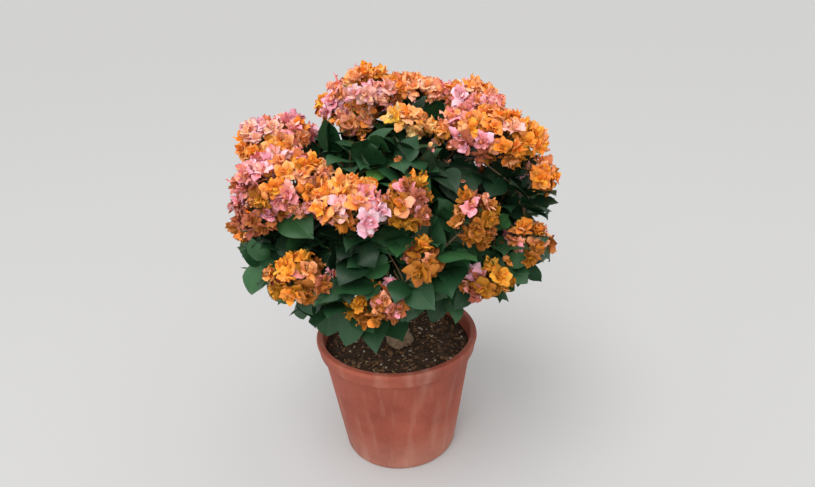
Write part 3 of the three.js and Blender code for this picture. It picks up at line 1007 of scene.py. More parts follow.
# blooms that give a truss its outline where it reaches furthest, in pixels of the view
EDGE_BLOOMS = [("top", 337, 84), ("top", 331, 100), ("left_top", 258, 118), ("left_top", 279, 116), ("left_top", 311, 127), ("left", 318, 176),
               ("top_chin", 353, 124), ("top_chin", 342, 117), ("top_chin", 364, 118),
               ("top_chin", 348, 129), ("top_chin", 360, 131), ("right_small", 474, 208), ("left", 249, 178)]
for index, mass in enumerate(FLOWERS):
    r = np.random.default_rng(100 + index)
    d = sphere_directions(2400, r)
    d = unit(d + r.normal(0, 0.03, d.shape))
    slim = mass.half.min()
    base, normal = mass.surface(d, min(17.0, max(10.0, 0.42 * slim)))
    keep = np.ones(len(d), bool)
    for other in FLOWERS:
        if other is not mass:
            keep &= other.how_deep(base) > 0.74
    # the side of a truss that faces the crown's middle bears fewer
    facing = normal @ unit(mass.out + np.array([0, 0, 0.35]))
    keep &= facing > -0.85
    spacing = (np.where(facing > -0.3, 15.9 if index < 14 else 17.6, 24.0) + r.uniform(-1.5, 1.5, len(d))) * (1.0 if slim > 30 else 0.92)
    pick = np.nonzero(keep)[0]
    chosen = []
    for name, x, y in EDGE_BLOOMS:
        if name == mass.name:
            way = unit(forward * FOCAL_PX + cam_right * (x - 407.5) - cam_up * (y - 243.5))
            reach = base[pick] - CAM_AT / MM
            chosen.append(pick[np.argmin(np.linalg.norm(np.cross(reach, way), axis=1) + 0.04 * reach @ way)])
    fixed = list(base[chosen]) if chosen else []
    chosen += list(pick[spaced_out(base[pick], spacing[pick], r, taken=ros_at + fixed)])
    for i in chosen:
        ros_at.append(base[i] + normal[i] * r.uniform(-3.0, 2.5))
        axis = unit(normal[i] + 0.12 * mass.out + r.normal(0, 0.30, 3))
        ros_axis.append(axis)
        ros_size.append(r.uniform(0.86, 1.12))
        ros_mass.append(index)
        ros_inner.append(False)
    # a plainer layer under the first closes the gaps; its deeper colour, set further down, is painted shade between the
    # rosettes
    base, normal = mass.surface(d, min(27.0, 0.72 * slim))
    facing = normal @ unit(mass.out + np.array([0, 0, 0.35]))
    inner = np.nonzero((facing > -0.3) & keep)[0]
    for i in inner[spaced_out(base[inner], 16.8, r)]:
        ros_at.append(base[i])
        ros_axis.append(unit(normal[i] + r.normal(0, 0.35, 3)))
        ros_size.append(r.uniform(0.95, 1.15))
        ros_mass.append(index)
        ros_inner.append(True)
ros_at, ros_axis = np.array(ros_at), np.array(ros_axis)
ros_size, ros_mass, ros_inner = np.array(ros_size), np.array(ros_mass), np.array(ros_inner)
print("rosettes", len(ros_at), "inner", int(ros_inner.sum()))

# ---- stems to the trusses, nearest first ----
order = sorted(range(len(FLOWERS)), key=lambda i: np.linalg.norm(FLOWERS[i].centre - FORK))
for i in order:
    mass = FLOWERS[i]
    heading = unit(mass.out * 0.7 + np.array([0, 0, 0.7]))
    goal = mass.centre - mass.out * mass.half.min() * 0.35 - np.array([0, 0, 6.0])
    p0, d0, size = start_for(goal, heading)
    d0 = unit(d0 * 0.6 + unit(goal - p0) * 0.7)
    line = hermite(p0, d0, goal, heading, 18, 3.0)
    r0 = min(size * 0.8, 3.0)
    radii = np.linspace(r0, 1.6, len(line))
    twigs.add(line, radii, 7, 0)
    remember(line, radii, 0.3)
    leaves_along(line, 0.25, 0.98, 15, 50, 0.1, rng.uniform(0, 6.28))
    mine = np.nonzero(ros_mass == i)[0]
    if not len(mine):
        continue
    # forks: a handful of branches, each to its own share of the rosettes
    k = max(3, min(9, len(mine) // 6))
    r = np.random.default_rng(300 + i)
    seeds = mine[r.permutation(len(mine))[:k]]
    centres = ros_at[seeds].copy()
    for _ in range(6):
        near = np.argmin(((ros_at[mine][:, None, :] - centres[None]) ** 2).sum(-1), 1)
        for c in range(k):
            if (near == c).any():
                centres[c] = ros_at[mine[near == c]].mean(0)
    start, way = line[-1], unit(line[-1] - line[-2])
    for c in range(k):
        share = mine[near == c]
        if not len(share):
            continue
        mid = mass.centre + (centres[c] - mass.centre) * 0.55
        branch = hermite(line[-4], way, mid, unit(centres[c] - mass.centre), 7, 1.2)
        twigs.add(branch, np.linspace(1.5, 1.0, len(branch)), 5, 2)
        for s in share:
            foot = ros_at[s] - ros_axis[s] * 2.0
            stalk = hermite(branch[-1], unit(foot - branch[-1]), foot, ros_axis[s], 4)
            twigs.add(stalk, [0.8, 0.75, 0.7, 0.8], 4, 1, cap=False)

# ---- leafy shoots that fill the green masses ----
shoot_goal, shoot_out = [], []
for index, mass in enumerate(LEAVES):
    r = np.random.default_rng(500 + index)
    d = sphere_directions(900, r)
    p, n = mass.surface(d, 12.0)
    keep = np.ones(len(d), bool)
    for other in FLOWERS:
        keep &= other.how_deep(p) > 0.92
    for other in LEAVES:
        if other is not mass:
            keep &= other.how_deep(p) > 0.9
    keep &= n[:, 2] > -0.85
    keep &= ~hides_truss(p + n * 14.0, 0.9)
    pick = np.nonzero(keep)[0]
    chosen = pick[spaced_out(p[pick], 23.0, r, taken=shoot_goal)]
    for i in chosen:
        shoot_goal.append(p[i])
        shoot_out.append(n[i])
FILLS = [
    (22, 92, 522), (44, 84, 516), (64, 74, 512), (34, 60, 505), (-70, 10, 498), (-84, -8, 486), (90, -20, 492), (104, -34, 480),
    (106, 30, 484), (98, 22, 532), (128, -12, 438), (156, -8, 438), (-176, -18, 470), (34, 68, 538), (60, 64, 530), (-106, 26, 498),
    (176, -24, 432), (190, -8, 478), (172, -8, 452), (74, -62, 292), (-14, 34, 520), (184, -32, 410), (194, -12, 470), (128, -38, 348),
    (191, -32, 424), (180, -28, 418), (-93, -74, 292), (-109, -75, 298), (-156, 2, 482), (-172, -8, 456),
    (-66, 27, 515), (194, -16, 474), (204, -50, 378),
]
for fill in FILLS:
    shoot_goal.append(np.array(fill, float))
    shoot_out.append(unit(np.array(fill) - CROWN_CENTRE))
order = list(np.argsort([np.linalg.norm(g - FORK) for g in shoot_goal]))
for late in ((174, -22, 432), (168, -24, 436), (-18, 28, 524), (206, -16, 478), (-158, 0, 484)):  # the last gaps between the trusses
    order.append(len(shoot_goal))
    shoot_goal.append(np.array(late, float))
    shoot_out.append(unit(np.array(late) - CROWN_CENTRE))
print("shoots", len(shoot_goal))
stray_at, stray_axis = [], []
stray_rng = np.random.default_rng(909)
for s in order:
    goal, out = shoot_goal[s], shoot_out[s]
    heading = unit(out * 0.8 + np.array([0, 0, 0.35]) + rng.normal(0, 0.15, 3))
    p0, d0, size = start_for(goal, heading)
    d0 = unit(d0 * 0.5 + unit(goal - p0) * 0.8)
    far = np.linalg.norm(goal - p0)
    line = hermite(p0, d0, goal, heading, 9, far * 0.03)
    r0 = min(size * 0.7, 1.7)
    radii = np.linspace(r0, 0.8, len(line))
    twigs.add(line, radii, 5, 2 if r0 < 1.2 else 0)
    if far > 40:
        remember(line, radii, 0.5)
    leaves_along(line, max(0.15, 1 - 62 / far), 1.0, 12.0, 48, 0.1, rng.uniform(0, 6.28))
    if stray_rng.uniform() < (0.3 if goal[2] > 455 and goal[1] < 40 else 0.07):
        stray_at.append(line[-1] + heading * 8.0)
        stray_axis.append(unit(heading + stray_rng.normal(0, 0.4, 3)))
        twigs.add([line[-1], line[-1] + heading * 4.5, stray_at[-1]], [0.8, 0.6, 0.5], 4, 1, cap=False)
    # the tip's own leaf
    leaf_at.append(line[-1])
    leaf_dir.append(unit(heading + rng.normal(0, 0.25, 3) - np.array([0, 0, 0.15])))
    leaf_up.append(unit(out + np.array([0, 0, 0.6]) + rng.normal(0, 0.2, 3)))
    leaf_size.append(rng.uniform(28, 42))
    leaf_age_and_shade.append(0.2 + rng.uniform(0, 0.25))

leaf_at, leaf_dir, leaf_up = np.array(leaf_at), unit(leaf_dir), np.array(leaf_up)
leaf_size, leaf_age_and_shade = np.array(leaf_size), np.array(leaf_age_and_shade)
keep = np.ones(len(leaf_at), bool)
for share, core in ((0.6, 0.7), (1.05, 0.5)):
    tip_at = leaf_at + leaf_dir * leaf_size[:, None] * share
    for m in FLOWERS:
        keep &= m.how_deep(tip_at) > core
# painted shade: leaves in the hollow under the right-hand trusses and under the low trusses left of the middle are aged
# down to the darkest green
seen_from = leaf_at - CAM_AT / MM
across, upward = (FOCAL_PX * (seen_from @ way) / (seen_from @ forward) for way in (cam_right, cam_up))
for x, y, reach in ((455, 165, 36), (495, 180, 44), (300, 229, 24), (348, 243, 30)):
    leaf_age_and_shade -= 0.5 * np.exp(-(((across - x + 407.5) ** 2 + (upward + y - 243.5) ** 2) / reach**2) ** 2) * (leaf_at[:, 1] < 60)
low, high = np.array(CAD_BOUNDS[0]) / MM - 9.0, np.array(CAD_BOUNDS[1]) / MM + 9.0
tip_at = leaf_at + leaf_dir * leaf_size[:, None] * 1.12
keep &= (tip_at > low).all(1) & (tip_at < high).all(1)  # none sticks out past the crown
# nor past the outline that the trusses give the upper part in the photograph
seen_from = tip_at - CAM_AT / MM
across, upward = (FOCAL_PX * (seen_from @ way) / (seen_from @ forward) for way in (cam_right, cam_up))
keep &= ~((across + 407.5 > 541) & (243.5 - upward < 172)) & ~((across + 407.5 < 231) & (243.5 - upward < 225))
for share in (0.45, 0.85):  # nor in front of the top truss and its chin
    seen_from = leaf_at + leaf_dir * leaf_size[:, None] * share - CAM_AT / MM
    across, upward = (FOCAL_PX * (seen_from @ way) / (seen_from @ forward) for way in (cam_right, cam_up))
    keep &= ~((abs(across + 407.5 - 345) < 29) & (abs(243.5 - upward - 113) < 18) & (seen_from @ forward < 960))
for share in (0.3, 0.65, 1.0):
    keep &= ~hides_truss(leaf_at + leaf_dir * leaf_size[:, None] * (share + 0.15))
leaf_at, leaf_dir, leaf_up = leaf_at[keep], leaf_dir[keep], leaf_up[keep]
leaf_size, leaf_age_and_shade = leaf_size[keep], leaf_age_and_shade[keep]
print("leaves", len(leaf_at))

# stray young bracts among the leaves
stray_at, stray_axis = np.array(stray_at), np.array(stray_axis)
ros_stray = np.concatenate([np.zeros(len(ros_at), bool), np.ones(len(stray_at), bool)])
centres = np.array([m.centre for m in FLOWERS])
ros_mass = np.concatenate([ros_mass, np.argmin(((stray_at[:, None] - centres[None]) ** 2).sum(-1), 1)])
ros_at, ros_axis = np.concatenate([ros_at, stray_at]), np.concatenate([ros_axis, stray_axis])
ros_size = np.concatenate([ros_size, stray_rng.uniform(0.5, 0.75, len(stray_at))])
ros_inner = np.concatenate([ros_inner, np.zeros(len(stray_at), bool)])
print("stray bract pairs", len(stray_at))

# =====================================================================================
# Bracts
# =====================================================================================
ROWS = np.array([0.0, 0.08, 0.20, 0.34, 0.48, 0.62, 0.75, 0.86, 0.94, 1.0])
COLS = np.array([-1.0, -0.74, -0.38, 0.0, 0.38, 0.74, 1.0])
ROUND = np.array([0.14, 0.58, 0.88, 1.0, 1.0, 0.94, 0.80, 0.58, 0.33, 0.0])
OVATE = np.array([0.14, 0.56, 0.88, 1.0, 0.97, 0.83, 0.61, 0.37, 0.16, 0.0])
SHARP = np.array([0.12, 0.42, 0.72, 0.88, 0.85, 0.68, 0.46, 0.26, 0.11, 0.0])


def blade_template(rows, cols):
    """Places (row, column) and triangles of a blade whose last row is one point."""
    place = [(i, j) for i in range(len(rows) - 1) for j in range(len(cols))]
    w = len(cols)
    tris, band, lane = [], [], []
    for i in range(len(rows) - 2):
        for j in range(w - 1):
            a = i * w + j
            if (j < w // 2) == (i % 2 == 0):
                tris += [(a, a + 1, a + w + 1), (a, a + w + 1, a + w)]
            else:
                tris += [(a, a + 1, a + w), (a + 1, a + w + 1, a + w)]
            band += [i, i]
            lane += [j, j]
    tip = len(place)
    for j in range(w - 1):
        a = (len(rows) - 2) * w + j
        tris.append((a, a + 1, tip))
        band.append(len(rows) - 2)
        lane.append(j)
    t = np.array([rows[i] for i, j in place] + [1.0])
    u = np.array([cols[j] for i, j in place] + [0.0])
    return t, u, np.array(tris), np.array(band), np.array(lane)


FINE = blade_template(ROWS, COLS)[:3]
PLAIN = blade_template(np.array([0.0, 0.16, 0.38, 0.62, 0.84, 1.0]), np.array([-1.0, -0.5, 0.0, 0.5, 1.0]))[:3]


def midribs(length, angle):
    """Distance out from the axis and up along it, for blades that lean by angle along their length."""
    n, m = angle.shape
    mean = (angle[:, 1:] + angle[:, :-1]) / 2
    ds = (length / (m - 1))[:, None]
    zero = np.zeros((n, 1))
    out = np.concatenate([zero, np.cumsum(np.sin(mean) * ds, 1)], 1)
    rise = np.concatenate([zero, np.cumsum(np.cos(mean) * ds, 1)], 1)
    return out, rise


def bract_mesh(at, axis, b, blade):
    """Every bract at once: a midrib that leaves the axis by an angle, a cupped and ruffled blade across it."""
    BT, BU, _ = blade
    T, U = BT[None, :], BU[None, :]
    frill, nick = b["frill"][:, : len(BT)], b["nick"][:, : len(BT)]
    col = lambda key: b[key][:, None]
    fine = np.linspace(0, 1, 51)[None, :]
    angle = col("a0") + (col("a1") - col("a0")) * fine**1.1 + col("curl") * np.clip((fine - 0.55) / 0.45, 0, 1) ** 1.5
    out, rise = midribs(b["length"], angle)
    k = np.round(BT * 50).astype(int)
    out, rise, angle = out[:, k], rise[:, k], angle[:, k]
    e1, e2 = frame_for(axis)
    c, s = np.cos(b["spin"])[:, None], np.sin(b["spin"])[:, None]
    rad_dir, tan_dir = c * e1 + s * e2, -s * e1 + c * e2
    point = col("point")
    outline = [np.interp(BT, ROWS, w)[None, :] for w in (ROUND, OVATE, SHARP)]
    w = np.where(point < 0.5, outline[0] + (outline[1] - outline[0]) * point * 2, outline[1] + (outline[2] - outline[1]) * (point * 2 - 1))
    w = w * col("half")
    cup = col("cup")
    bend = np.where(np.abs(cup) < 1e-3, 1e-3, cup)
    x = w * np.sin(U * bend) / bend
    lift = w * (1 - np.cos(U * bend)) / bend
    lift = lift + col("crease") * np.abs(x)
    body = np.sin(np.pi * np.clip(T, 0, 1) ** 0.8) ** 0.5
    edge = np.abs(U) ** 1.7
    wave = np.sin(col("phase") + T * col("waves") + U * 1.3) * edge
    wave = wave + 0.6 * np.sin(col("phase") * 2.7 + T * col("waves") * 1.9 - U * 2.4) * edge
    tipwave = np.sin(col("phase") * 1.7 + U * 4.2) * np.clip((T - 0.6) / 0.4, 0, 1) ** 1.3
    crinkle = np.sin(U * 5.1 + col("phase") * 3.1) * np.sin(T * 11.0 + col("phase")) + 0.7 * np.sin(U * 9.0 - T * 7.0 + col("phase") * 5.3)
    lift = lift + col("ruffle") * (wave * body + 0.7 * tipwave) + col("crinkle") * crinkle * body
    lift = lift + col("ruffle") * 0.42 * frill * (0.25 + edge) * body
    lift = lift + col("twist") * x * T
    x = x * (1 + 0.09 * nick * edge)
    x = x + 0.35 * col("ruffle") * np.sin(col("phase") * 4.1 + T * 14.0) * edge * np.sign(U) * body
    up, side = np.sin(angle), -np.cos(angle)
    return (
        at[:, None, :]
        + rad_dir[:, None, :] * (out + side * lift)[..., None]
        + axis[:, None, :] * (rise + up * lift)[..., None]
        + tan_dir[:, None, :] * x[..., None]
    )


MOST_BRACTS = 16


def rosette_bracts(sel, rng):
    """All bracts of the chosen rosettes, wound out from the middle: the inner ones closed, the outer ones arching over."""
    parts = []
    for k in range(MOST_BRACTS):
        who = sel[ros_count[sel] > k]
        m = len(who)
        q = (k + 0.5) / ros_count[who]
        mixed = lambda a, z, power=1.0: a + (z - a) * q**power
        length = mixed(12.0, 19.2, 0.7) * ros_size[who] * rng.uniform(0.84, 1.14, m)
        domed = rng.uniform(0, 1, m) < mixed(0.3, 0.85)  # the rest stand cupped
        parts.append(
            dict(
                idx=who,
                q=q,
                spin=ros_spin[who] + k * 2.39996 + rng.normal(0, 0.25, m),
                length=length,
                half=length * mixed(0.36, 0.42) * rng.uniform(0.86, 1.16, m),
                a0=np.radians(mixed(4, 62, 0.8) + rng.normal(0, 6, m)),
                a1=np.radians(mixed(8, 118, 0.9) + ros_open[who] * q + np.where(domed, 10, -20) + rng.normal(0, 11, m)),
                curl=np.radians(rng.normal(8, 20, m)),
                cup=np.where(domed, -mixed(0.7, 1.1), mixed(1.2, 0.8)) * rng.uniform(0.4, 1.3, m),
                crease=rng.normal(0.0, 0.07, m),
                ruffle=rng.uniform(0.8, 2.0, m),
                crinkle=rng.uniform(0.06, 0.22, m),
                waves=rng.uniform(8.0, 15.0, m),
                phase=rng.uniform(0, 6.28, m),
                twist=rng.normal(0, 0.18, m),
                point=rng.choice([0.0, 0.3, 0.6, 0.9], m, p=[0.50, 0.34, 0.12, 0.04]),
                frill=rng.normal(0, 1, (m, len(FINE[0]))),
                nick=rng.normal(0, 1, (m, len(FINE[0]))),
            )
        )
    return {k: np.concatenate([part[k] for part in parts]) for k in parts[0]}


rng = np.random.default_rng(77)
ros_spin = rng.uniform(0, 6.28, len(ros_at))
ros_count = rng.integers(11, 16, len(ros_at))
ros_count[ros_inner] = 5
ros_count[ros_stray] = 3
ros_open = rng.normal(0, 14, len(ros_at))
ros_luck = rng.uniform(0, 1, len(ros_at))

# Age runs in soft patches over the crown: young is orange, old is pink. The trusses that the
# photograph shows have their young and old parts where they are there: across and up from each
# truss's middle as the camera sees it, how far the patch reaches in mm, and its age.
AGE_PATCHES = [
    ("top", -0.8, 0.3, 20, 0.75), ("top", -0.1, 0.2, 26, 0.40), ("top", 0.1, 0.9, 24, 0.40), ("top", 0.35, -0.1, 13, 0.98),
    ("top", -0.95, -0.6, 20, 0.16), ("top", -0.35, -0.75, 15, 0.9), ("top", 0.75, -0.4, 22, 0.12), ("top_chin", 0.0, -0.1, 30, 0.42), ("top_chin", 0.0, -0.9, 13, 0.62),
    ("top_mid", -0.5, 0.5, 15, 0.75), ("top_mid", 0.4, 0.0, 26, 0.36), ("centre_small", -0.6, 0.6, 26, -0.15),
    ("centre_small", -0.1, 0.4, 13, 0.55), ("centre_small", 0.6, -0.4, 28, 0.0), ("top_right", -0.5, -0.5, 15, 0.98),
    ("top_right", 0.05, 0.5, 22, 0.06), ("top_right", 0.6, 0.1, 18, 0.5), ("right", -0.8, 0.3, 24, 0.85),
    ("right", -0.3, -0.6, 19, 0.98), ("right", 0.05, 0.1, 20, 0.45), ("right", -0.25, 0.5, 24, 0.08),
    ("right", 0.25, 0.7, 18, 0.62), ("right", 0.4, -0.6, 22, 0.18), ("right", 0.8, -0.1, 22, 0.42),
    ("right_tail", 0.0, 0.0, 45, 0.22), ("left_top", -0.5, 0.2, 20, 0.95), ("left_top", 0.45, 0.2, 19, 0.98), ("left_top", 0.0, -0.2, 14, 0.15),
    ("left_top", 0.0, 0.8, 19, 0.25), ("left_top", -0.8, -0.5, 18, 0.25), ("left_top", 0.9, -0.4, 15, 0.15),
    ("left", -0.4, 0.7, 26, 0.98), ("left", 0.1, 0.1, 18, 0.10), ("left", -0.7, -0.2, 24, 0.9),
    ("left", 0.35, 0.8, 16, 0.62), ("left", 0.75, 0.2, 20, 0.40), ("left", -0.1, -0.6, 17, 0.72), ("left", 0.4, -0.5, 18, 0.66), ("left", 0.85, -0.2, 18, 0.70),
    ("left_low", -0.5, 0.4, 18, 0.72), ("left_low", -0.7, -0.5, 18, 0.42), ("left_low", 0.0, -0.2, 17, 0.75),
    ("mid_low", -0.15, 0.85, 17, 0.95), ("mid_low", -0.1, 0.2, 17, 0.06), ("mid_low", 0.35, -0.4, 17, 1.0),
    ("mid_low", -0.7, 0.3, 19, 0.22), ("mid_low", 0.6, 0.3, 16, 0.80), ("mid_low", -0.2, -0.8, 18, 0.25),
    ("mid_right_low", 0.25, 0.7, 15, 0.95), ("mid_right_low", -0.5, 0.3, 16, 0.18), ("mid_right_low", 0.6, -0.1, 14, 0.85),
    ("mid_right_low", -0.3, -0.6, 16, 0.18), ("right_small", 0.1, 0.6, 19, 0.86), ("right_small", -0.7, 0.3, 14, 0.2),
    ("right_small", 0.7, 0.4, 14, 0.2), ("right_small", 0.0, -0.4, 22, 0.34), ("low_small", 0.4, 0.5, 13, 0.45),
    ("low_small", -0.3, -0.2, 20, 0.34),
]
ros_age = np.empty(len(ros_at))
for i, p in enumerate(ros_at):
    a = noise.noise(Vector((p[0] * 0.024 + 3.1, p[1] * 0.024, p[2] * 0.024 - 1.7)))
    b = noise.noise(Vector((p[0] * 0.06, p[1] * 0.06 + 9.2, p[2] * 0.06)))
    ros_age[i] = 0.42 + 0.75 * a + 0.4 * b + rng.normal(0, 0.08)
ros_age[ros_inner] -= 0.12
for name, across, upward, reach, age in AGE_PATCHES:
    mass = FLOWERS[[m.name for m in FLOWERS].index(name)]
    spot = mass.centre + cam_right * across * mass.half[0] + cam_up * upward * mass.half[2] - forward * mass.half[1] * 0.6
    near = np.exp(-((np.linalg.norm(ros_at - spot, axis=1) / reach) ** 2) * 1.2) * (ros_mass == FLOWERS.index(mass))
    ros_age += near * (age - ros_age) * 0.9
ros_age += 0.10 * np.sin((ros_age - 0.5) * 2 * np.pi)  # few stand half way
ros_age[ros_stray] = rng.uniform(0.3, 0.7, ros_stray.sum())
ros_age = np.clip(ros_age, -0.18, 1.0)

# Painted light and painted shade: bracts that face up are paler, as if the light reaches them, and those low in the
# crown and under each dome are a deeper, browner orange, as if shaded: -1 all painted shade, +1 all painted light. The
# same places on the seen trusses as in the photograph.
PAINTED_SHADE_BY_TRUSS = {"right_small": 0.9, "low_small": 0.7, "left_low": 0.72, "mid_right_low": 0.95, "top_chin": 0.08, "front_low": 0.5,
        "front_left_low": 0.4, "right_front_low": 0.5, "right_low": 0.3, "left_side": 0.2, "back_left_low": 0.4, "back_right_low": 0.4}
SHADE_PATCHES = [
    ("top", 0.3, 0.8, 36, 0.9), ("top", -0.75, -0.4, 20, -0.35), ("top", 0.0, -0.3, 32, 0.85), ("top_mid", -0.4, 0.5, 24, 0.6),
    ("centre_small", 0.0, 0.1, 60, 0.95), ("centre_small", 0.7, -0.4, 18, 0.35), ("top_mid", 0.5, 0.0, 26, 0.75), ("right", -0.7, -0.2, 32, -0.7), ("right", -0.1, -0.7, 24, -0.5),
    ("right", 0.3, 0.7, 30, 0.7), ("right", 0.15, -0.25, 16, 0.5), ("right", 0.8, 0.0, 22, 0.4), ("right", 0.5, -0.8, 26, -0.6),
    ("top_right", -0.6, -0.7, 18, -0.6), ("top_right", -0.3, 0.5, 26, 0.5), ("left_top", -0.4, 0.4, 26, 0.7),
    ("left_top", 0.5, 0.4, 24, 0.5), ("left_top", -0.8, -0.6, 24, -0.5), ("left", -0.4, 0.7, 26, 0.6),
    ("left", -0.9, 0.3, 18, -0.5), ("mid_low", 0.4, -0.2, 20, 0.6), ("mid_low", -0.2, 0.7, 20, 0.4), ("right_small", 0.1, 0.8, 18, 0.25), ("mid_low", 0.0, -0.9, 22, -0.6),
]
# painted light on rosettes that face up, painted shade on those that face down and on the trusses listed in the
# per-truss shade table
ros_shade = np.clip(0.5 * ros_axis[:, 2] - 0.1, -0.45, 0.5) - np.array([PAINTED_SHADE_BY_TRUSS.get(FLOWERS[i].name, 0.0) for i in ros_mass])
# painted shade on the inner layer
ros_shade[ros_inner] -= 0.3
for name, across, upward, reach, shade in SHADE_PATCHES:
    mass = FLOWERS[[m.name for m in FLOWERS].index(name)]
    spot = mass.centre + cam_right * across * mass.half[0] + cam_up * upward * mass.half[2] - forward * mass.half[1] * 0.6
    near = np.exp(-((np.linalg.norm(ros_at - spot, axis=1) / reach) ** 2) * 1.2) * (ros_mass == FLOWERS.index(mass))
    ros_shade += near * (shade - ros_shade) * 0.9
TOP_LEVEL = len(BRACT_COLOURS) - 1
mass_share = [int((ros_count[ros_mass == i].sum()) * 66 * 1.12) for i in range(len(FLOWERS))]
batches, load = [[]], 0
for i, share in enumerate(mass_share):
    if load + share > 175000:
        batches.append([])
        load = 0
    batches[-1].append(i)
    load += share
bract_total = 0
pale_mass = [m.name for m in FLOWERS].index("centre_small")
for g, batch in enumerate(batches):
    sel = np.nonzero(np.isin(ros_mass, batch))[0]
    b = rosette_bracts(sel, rng)
    i = b["idx"]
    n = len(i)
    at = ros_at[i] + ros_axis[i] * (4.0 * (1 - b["q"]))[:, None] + rng.normal(0, 1.3, (n, 3))
    axis = unit(ros_axis[i] + rng.normal(0, 0.14, (n, 3)))
    level = 3.8 + (TOP_LEVEL - 4.8) * np.clip(ros_age[i] + (b["q"] - 0.5) * 0.20 + rng.normal(0, 0.08, n), -0.2, 1)
    level = level - np.where(ros_mass[i] == pale_mass, 1.3, 0.0)
    luck = (ros_luck[i] + rng.normal(0, 0.13, n)) % 1.0
    # each bract takes its tone (0), the painted-shade copy (1) or the painted-light copy (2), mostly decided by rosette
    group = np.where(luck < -ros_shade[i], 1, np.where(luck < ros_shade[i], 2, 0))[:, None]
    root_tone, tip_tone = rng.uniform(0.4, 2.4, n), rng.uniform(0.1, 2.3, n)
    from_camera = unit(ros_at[i] - CAM_AT / MM)
    plainer = (b["q"] < 0.42) | ros_inner[i] | ((ros_axis[i] * from_camera).sum(1) > 0.5)
    v_all, t_all, s_all, uv_all, count = [], [], [], [], 0
    for blade, who in ((FINE, np.nonzero(~plainer)[0]), (PLAIN, np.nonzero(plainer)[0])):
        BT, BU, BTRIS = blade
        part = {k: x[who] for k, x in b.items()}
        v = bract_mesh(at[who], axis[who], part, blade)
        m = len(who)
        t_all.append((BTRIS[None] + (np.arange(m) * len(BT))[:, None, None]).reshape(-1, 3) + count)
        rootward = np.clip(1 - BT[BTRIS].mean(1) / 0.42, 0, 1)[None, :]
        outward = (np.clip(BT[BTRIS].mean(1) - 0.35, 0, 1) ** 1.2 + 0.35 * np.abs(BU[BTRIS].mean(1)) ** 2)[None, :]
        tone = level[who, None] - root_tone[who, None] * rootward + tip_tone[who, None] * outward
        yellowest = np.where(ros_mass[i] == pale_mass, 0, 4)[who, None]
        tone = np.clip(np.round(tone), yellowest, TOP_LEVEL).astype(int)
        # the painted-shade and painted-light copies of each tone
        painted_shade_tone, painted_light_tone = TOP_LEVEL + 1 + tone // 2, TOP_LEVEL + 1 + len(PAINTED_SHADE_COLOURS) + tone // 2
        s_all.append(np.choose(group[who] + 0 * tone, [tone, painted_shade_tone, painted_light_tone]).ravel())
        uv_all.append(np.tile(np.stack([BU * 0.49 + 0.5, BT * 0.98 + 0.01], 1), (m, 1)))
        v_all.append(v.reshape(-1, 3))
        count += m * len(BT)
    tris = np.concatenate(t_all)
    ob = new_piece("bracts_%d" % (g + 1), np.concatenate(v_all) * MM, tris, BRACT_MATERIALS, np.concatenate(s_all), np.concatenate(uv_all))
    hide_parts(*["flower_mass_" + FLOWERS[k].name for k in batch])
    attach(ob, "root")
    bract_total += len(tris)
    print("bracts piece", g + 1, len(tris))
print("bract triangles", bract_total, "pieces", len(batches))

# =====================================================================================
# Leaves
# =====================================================================================
LROWS = np.array([0.0, 0.06, 0.15, 0.27, 0.40, 0.54, 0.67, 0.79, 0.90, 1.0])
LWIDE = np.array([0.22, 0.58, 0.86, 0.99, 1.0, 0.90, 0.70, 0.44, 0.17, 0.0])
LCOLS = np.array([-1.0, -0.7, -0.36, -0.04, 0.04, 0.36, 0.7, 1.0])
LT, LU, LTRIS, LBAND, LLANE = blade_template(LROWS, LCOLS)


def leaf_mesh(at, heading, up, size, rng):
    """Broad ovate blades with a drawn-out tip, folded along the midrib, on a short stalk."""
    n = len(at)
    T, U = LT[None, :], LU[None, :]
    x_dir = unit(np.cross(heading, up))
    nrm = np.cross(x_dir, heading)
    half = size * rng.uniform(0.37, 0.46, n)
    stalk = size * 0.18
    arch = rng.normal(0.45, 0.35, n)  # how far the blade bends down along its length
    tip = rng.normal(0.25, 0.3, n)
    fold = rng.uniform(0.05, 0.45, n)[:, None]
    droop = rng.uniform(0.0, 0.022, n)[:, None]
    wavy = rng.uniform(0.3, 1.6, n)[:, None]
    phase = rng.uniform(0, 6.28, n)[:, None]
    fine = np.linspace(0, 1, 101)[None, :]
    angle = -0.12 + arch[:, None] * fine**1.2 + tip[:, None] * np.clip((fine - 0.6) / 0.4, 0, 1)
    fall, ahead = midribs(size, angle)
    k = np.round(LT * 100).astype(int)
    fall, ahead, angle = fall[:, k], ahead[:, k], angle[:, k]
    wide = np.interp(LT, LROWS, LWIDE)[None, :] * half[:, None]
    rib = (np.abs(LU) < 0.2)[None, :]
    x = np.where(rib, np.sign(U) * np.minimum(0.42, wide * 0.3), U * wide)
    lift = fold * np.abs(x) - droop * x**2
    lift = lift + wavy * np.sin(phase + T * 10.5 + U * 1.1) * np.abs(U) ** 1.8 * np.sin(np.pi * np.clip(T, 0, 1)) ** 0.5
    lift = lift + 0.30 * np.sin(phase * 2 + T * 19 - np.abs(U) * 5) * np.abs(U) * (1 - 0.5 * np.abs(U))
    sweep = rng.normal(0, 0.06, n)[:, None] * size[:, None] * T**2  # a slight bend to one side
    lobes = -0.07 * size[:, None] * np.abs(U) ** 1.6 * np.exp(-((T / 0.13) ** 2))
    foot = at + heading * stalk[:, None]
    cos, sin = np.cos(angle), np.sin(angle)
    p = (
        foot[:, None, :]
        + heading[:, None, :] * (ahead + lobes + sin * lift)[..., None]
        + nrm[:, None, :] * (-fall + cos * lift)[..., None]
        + x_dir[:, None, :] * (x + sweep)[..., None]
    )
    return p, foot


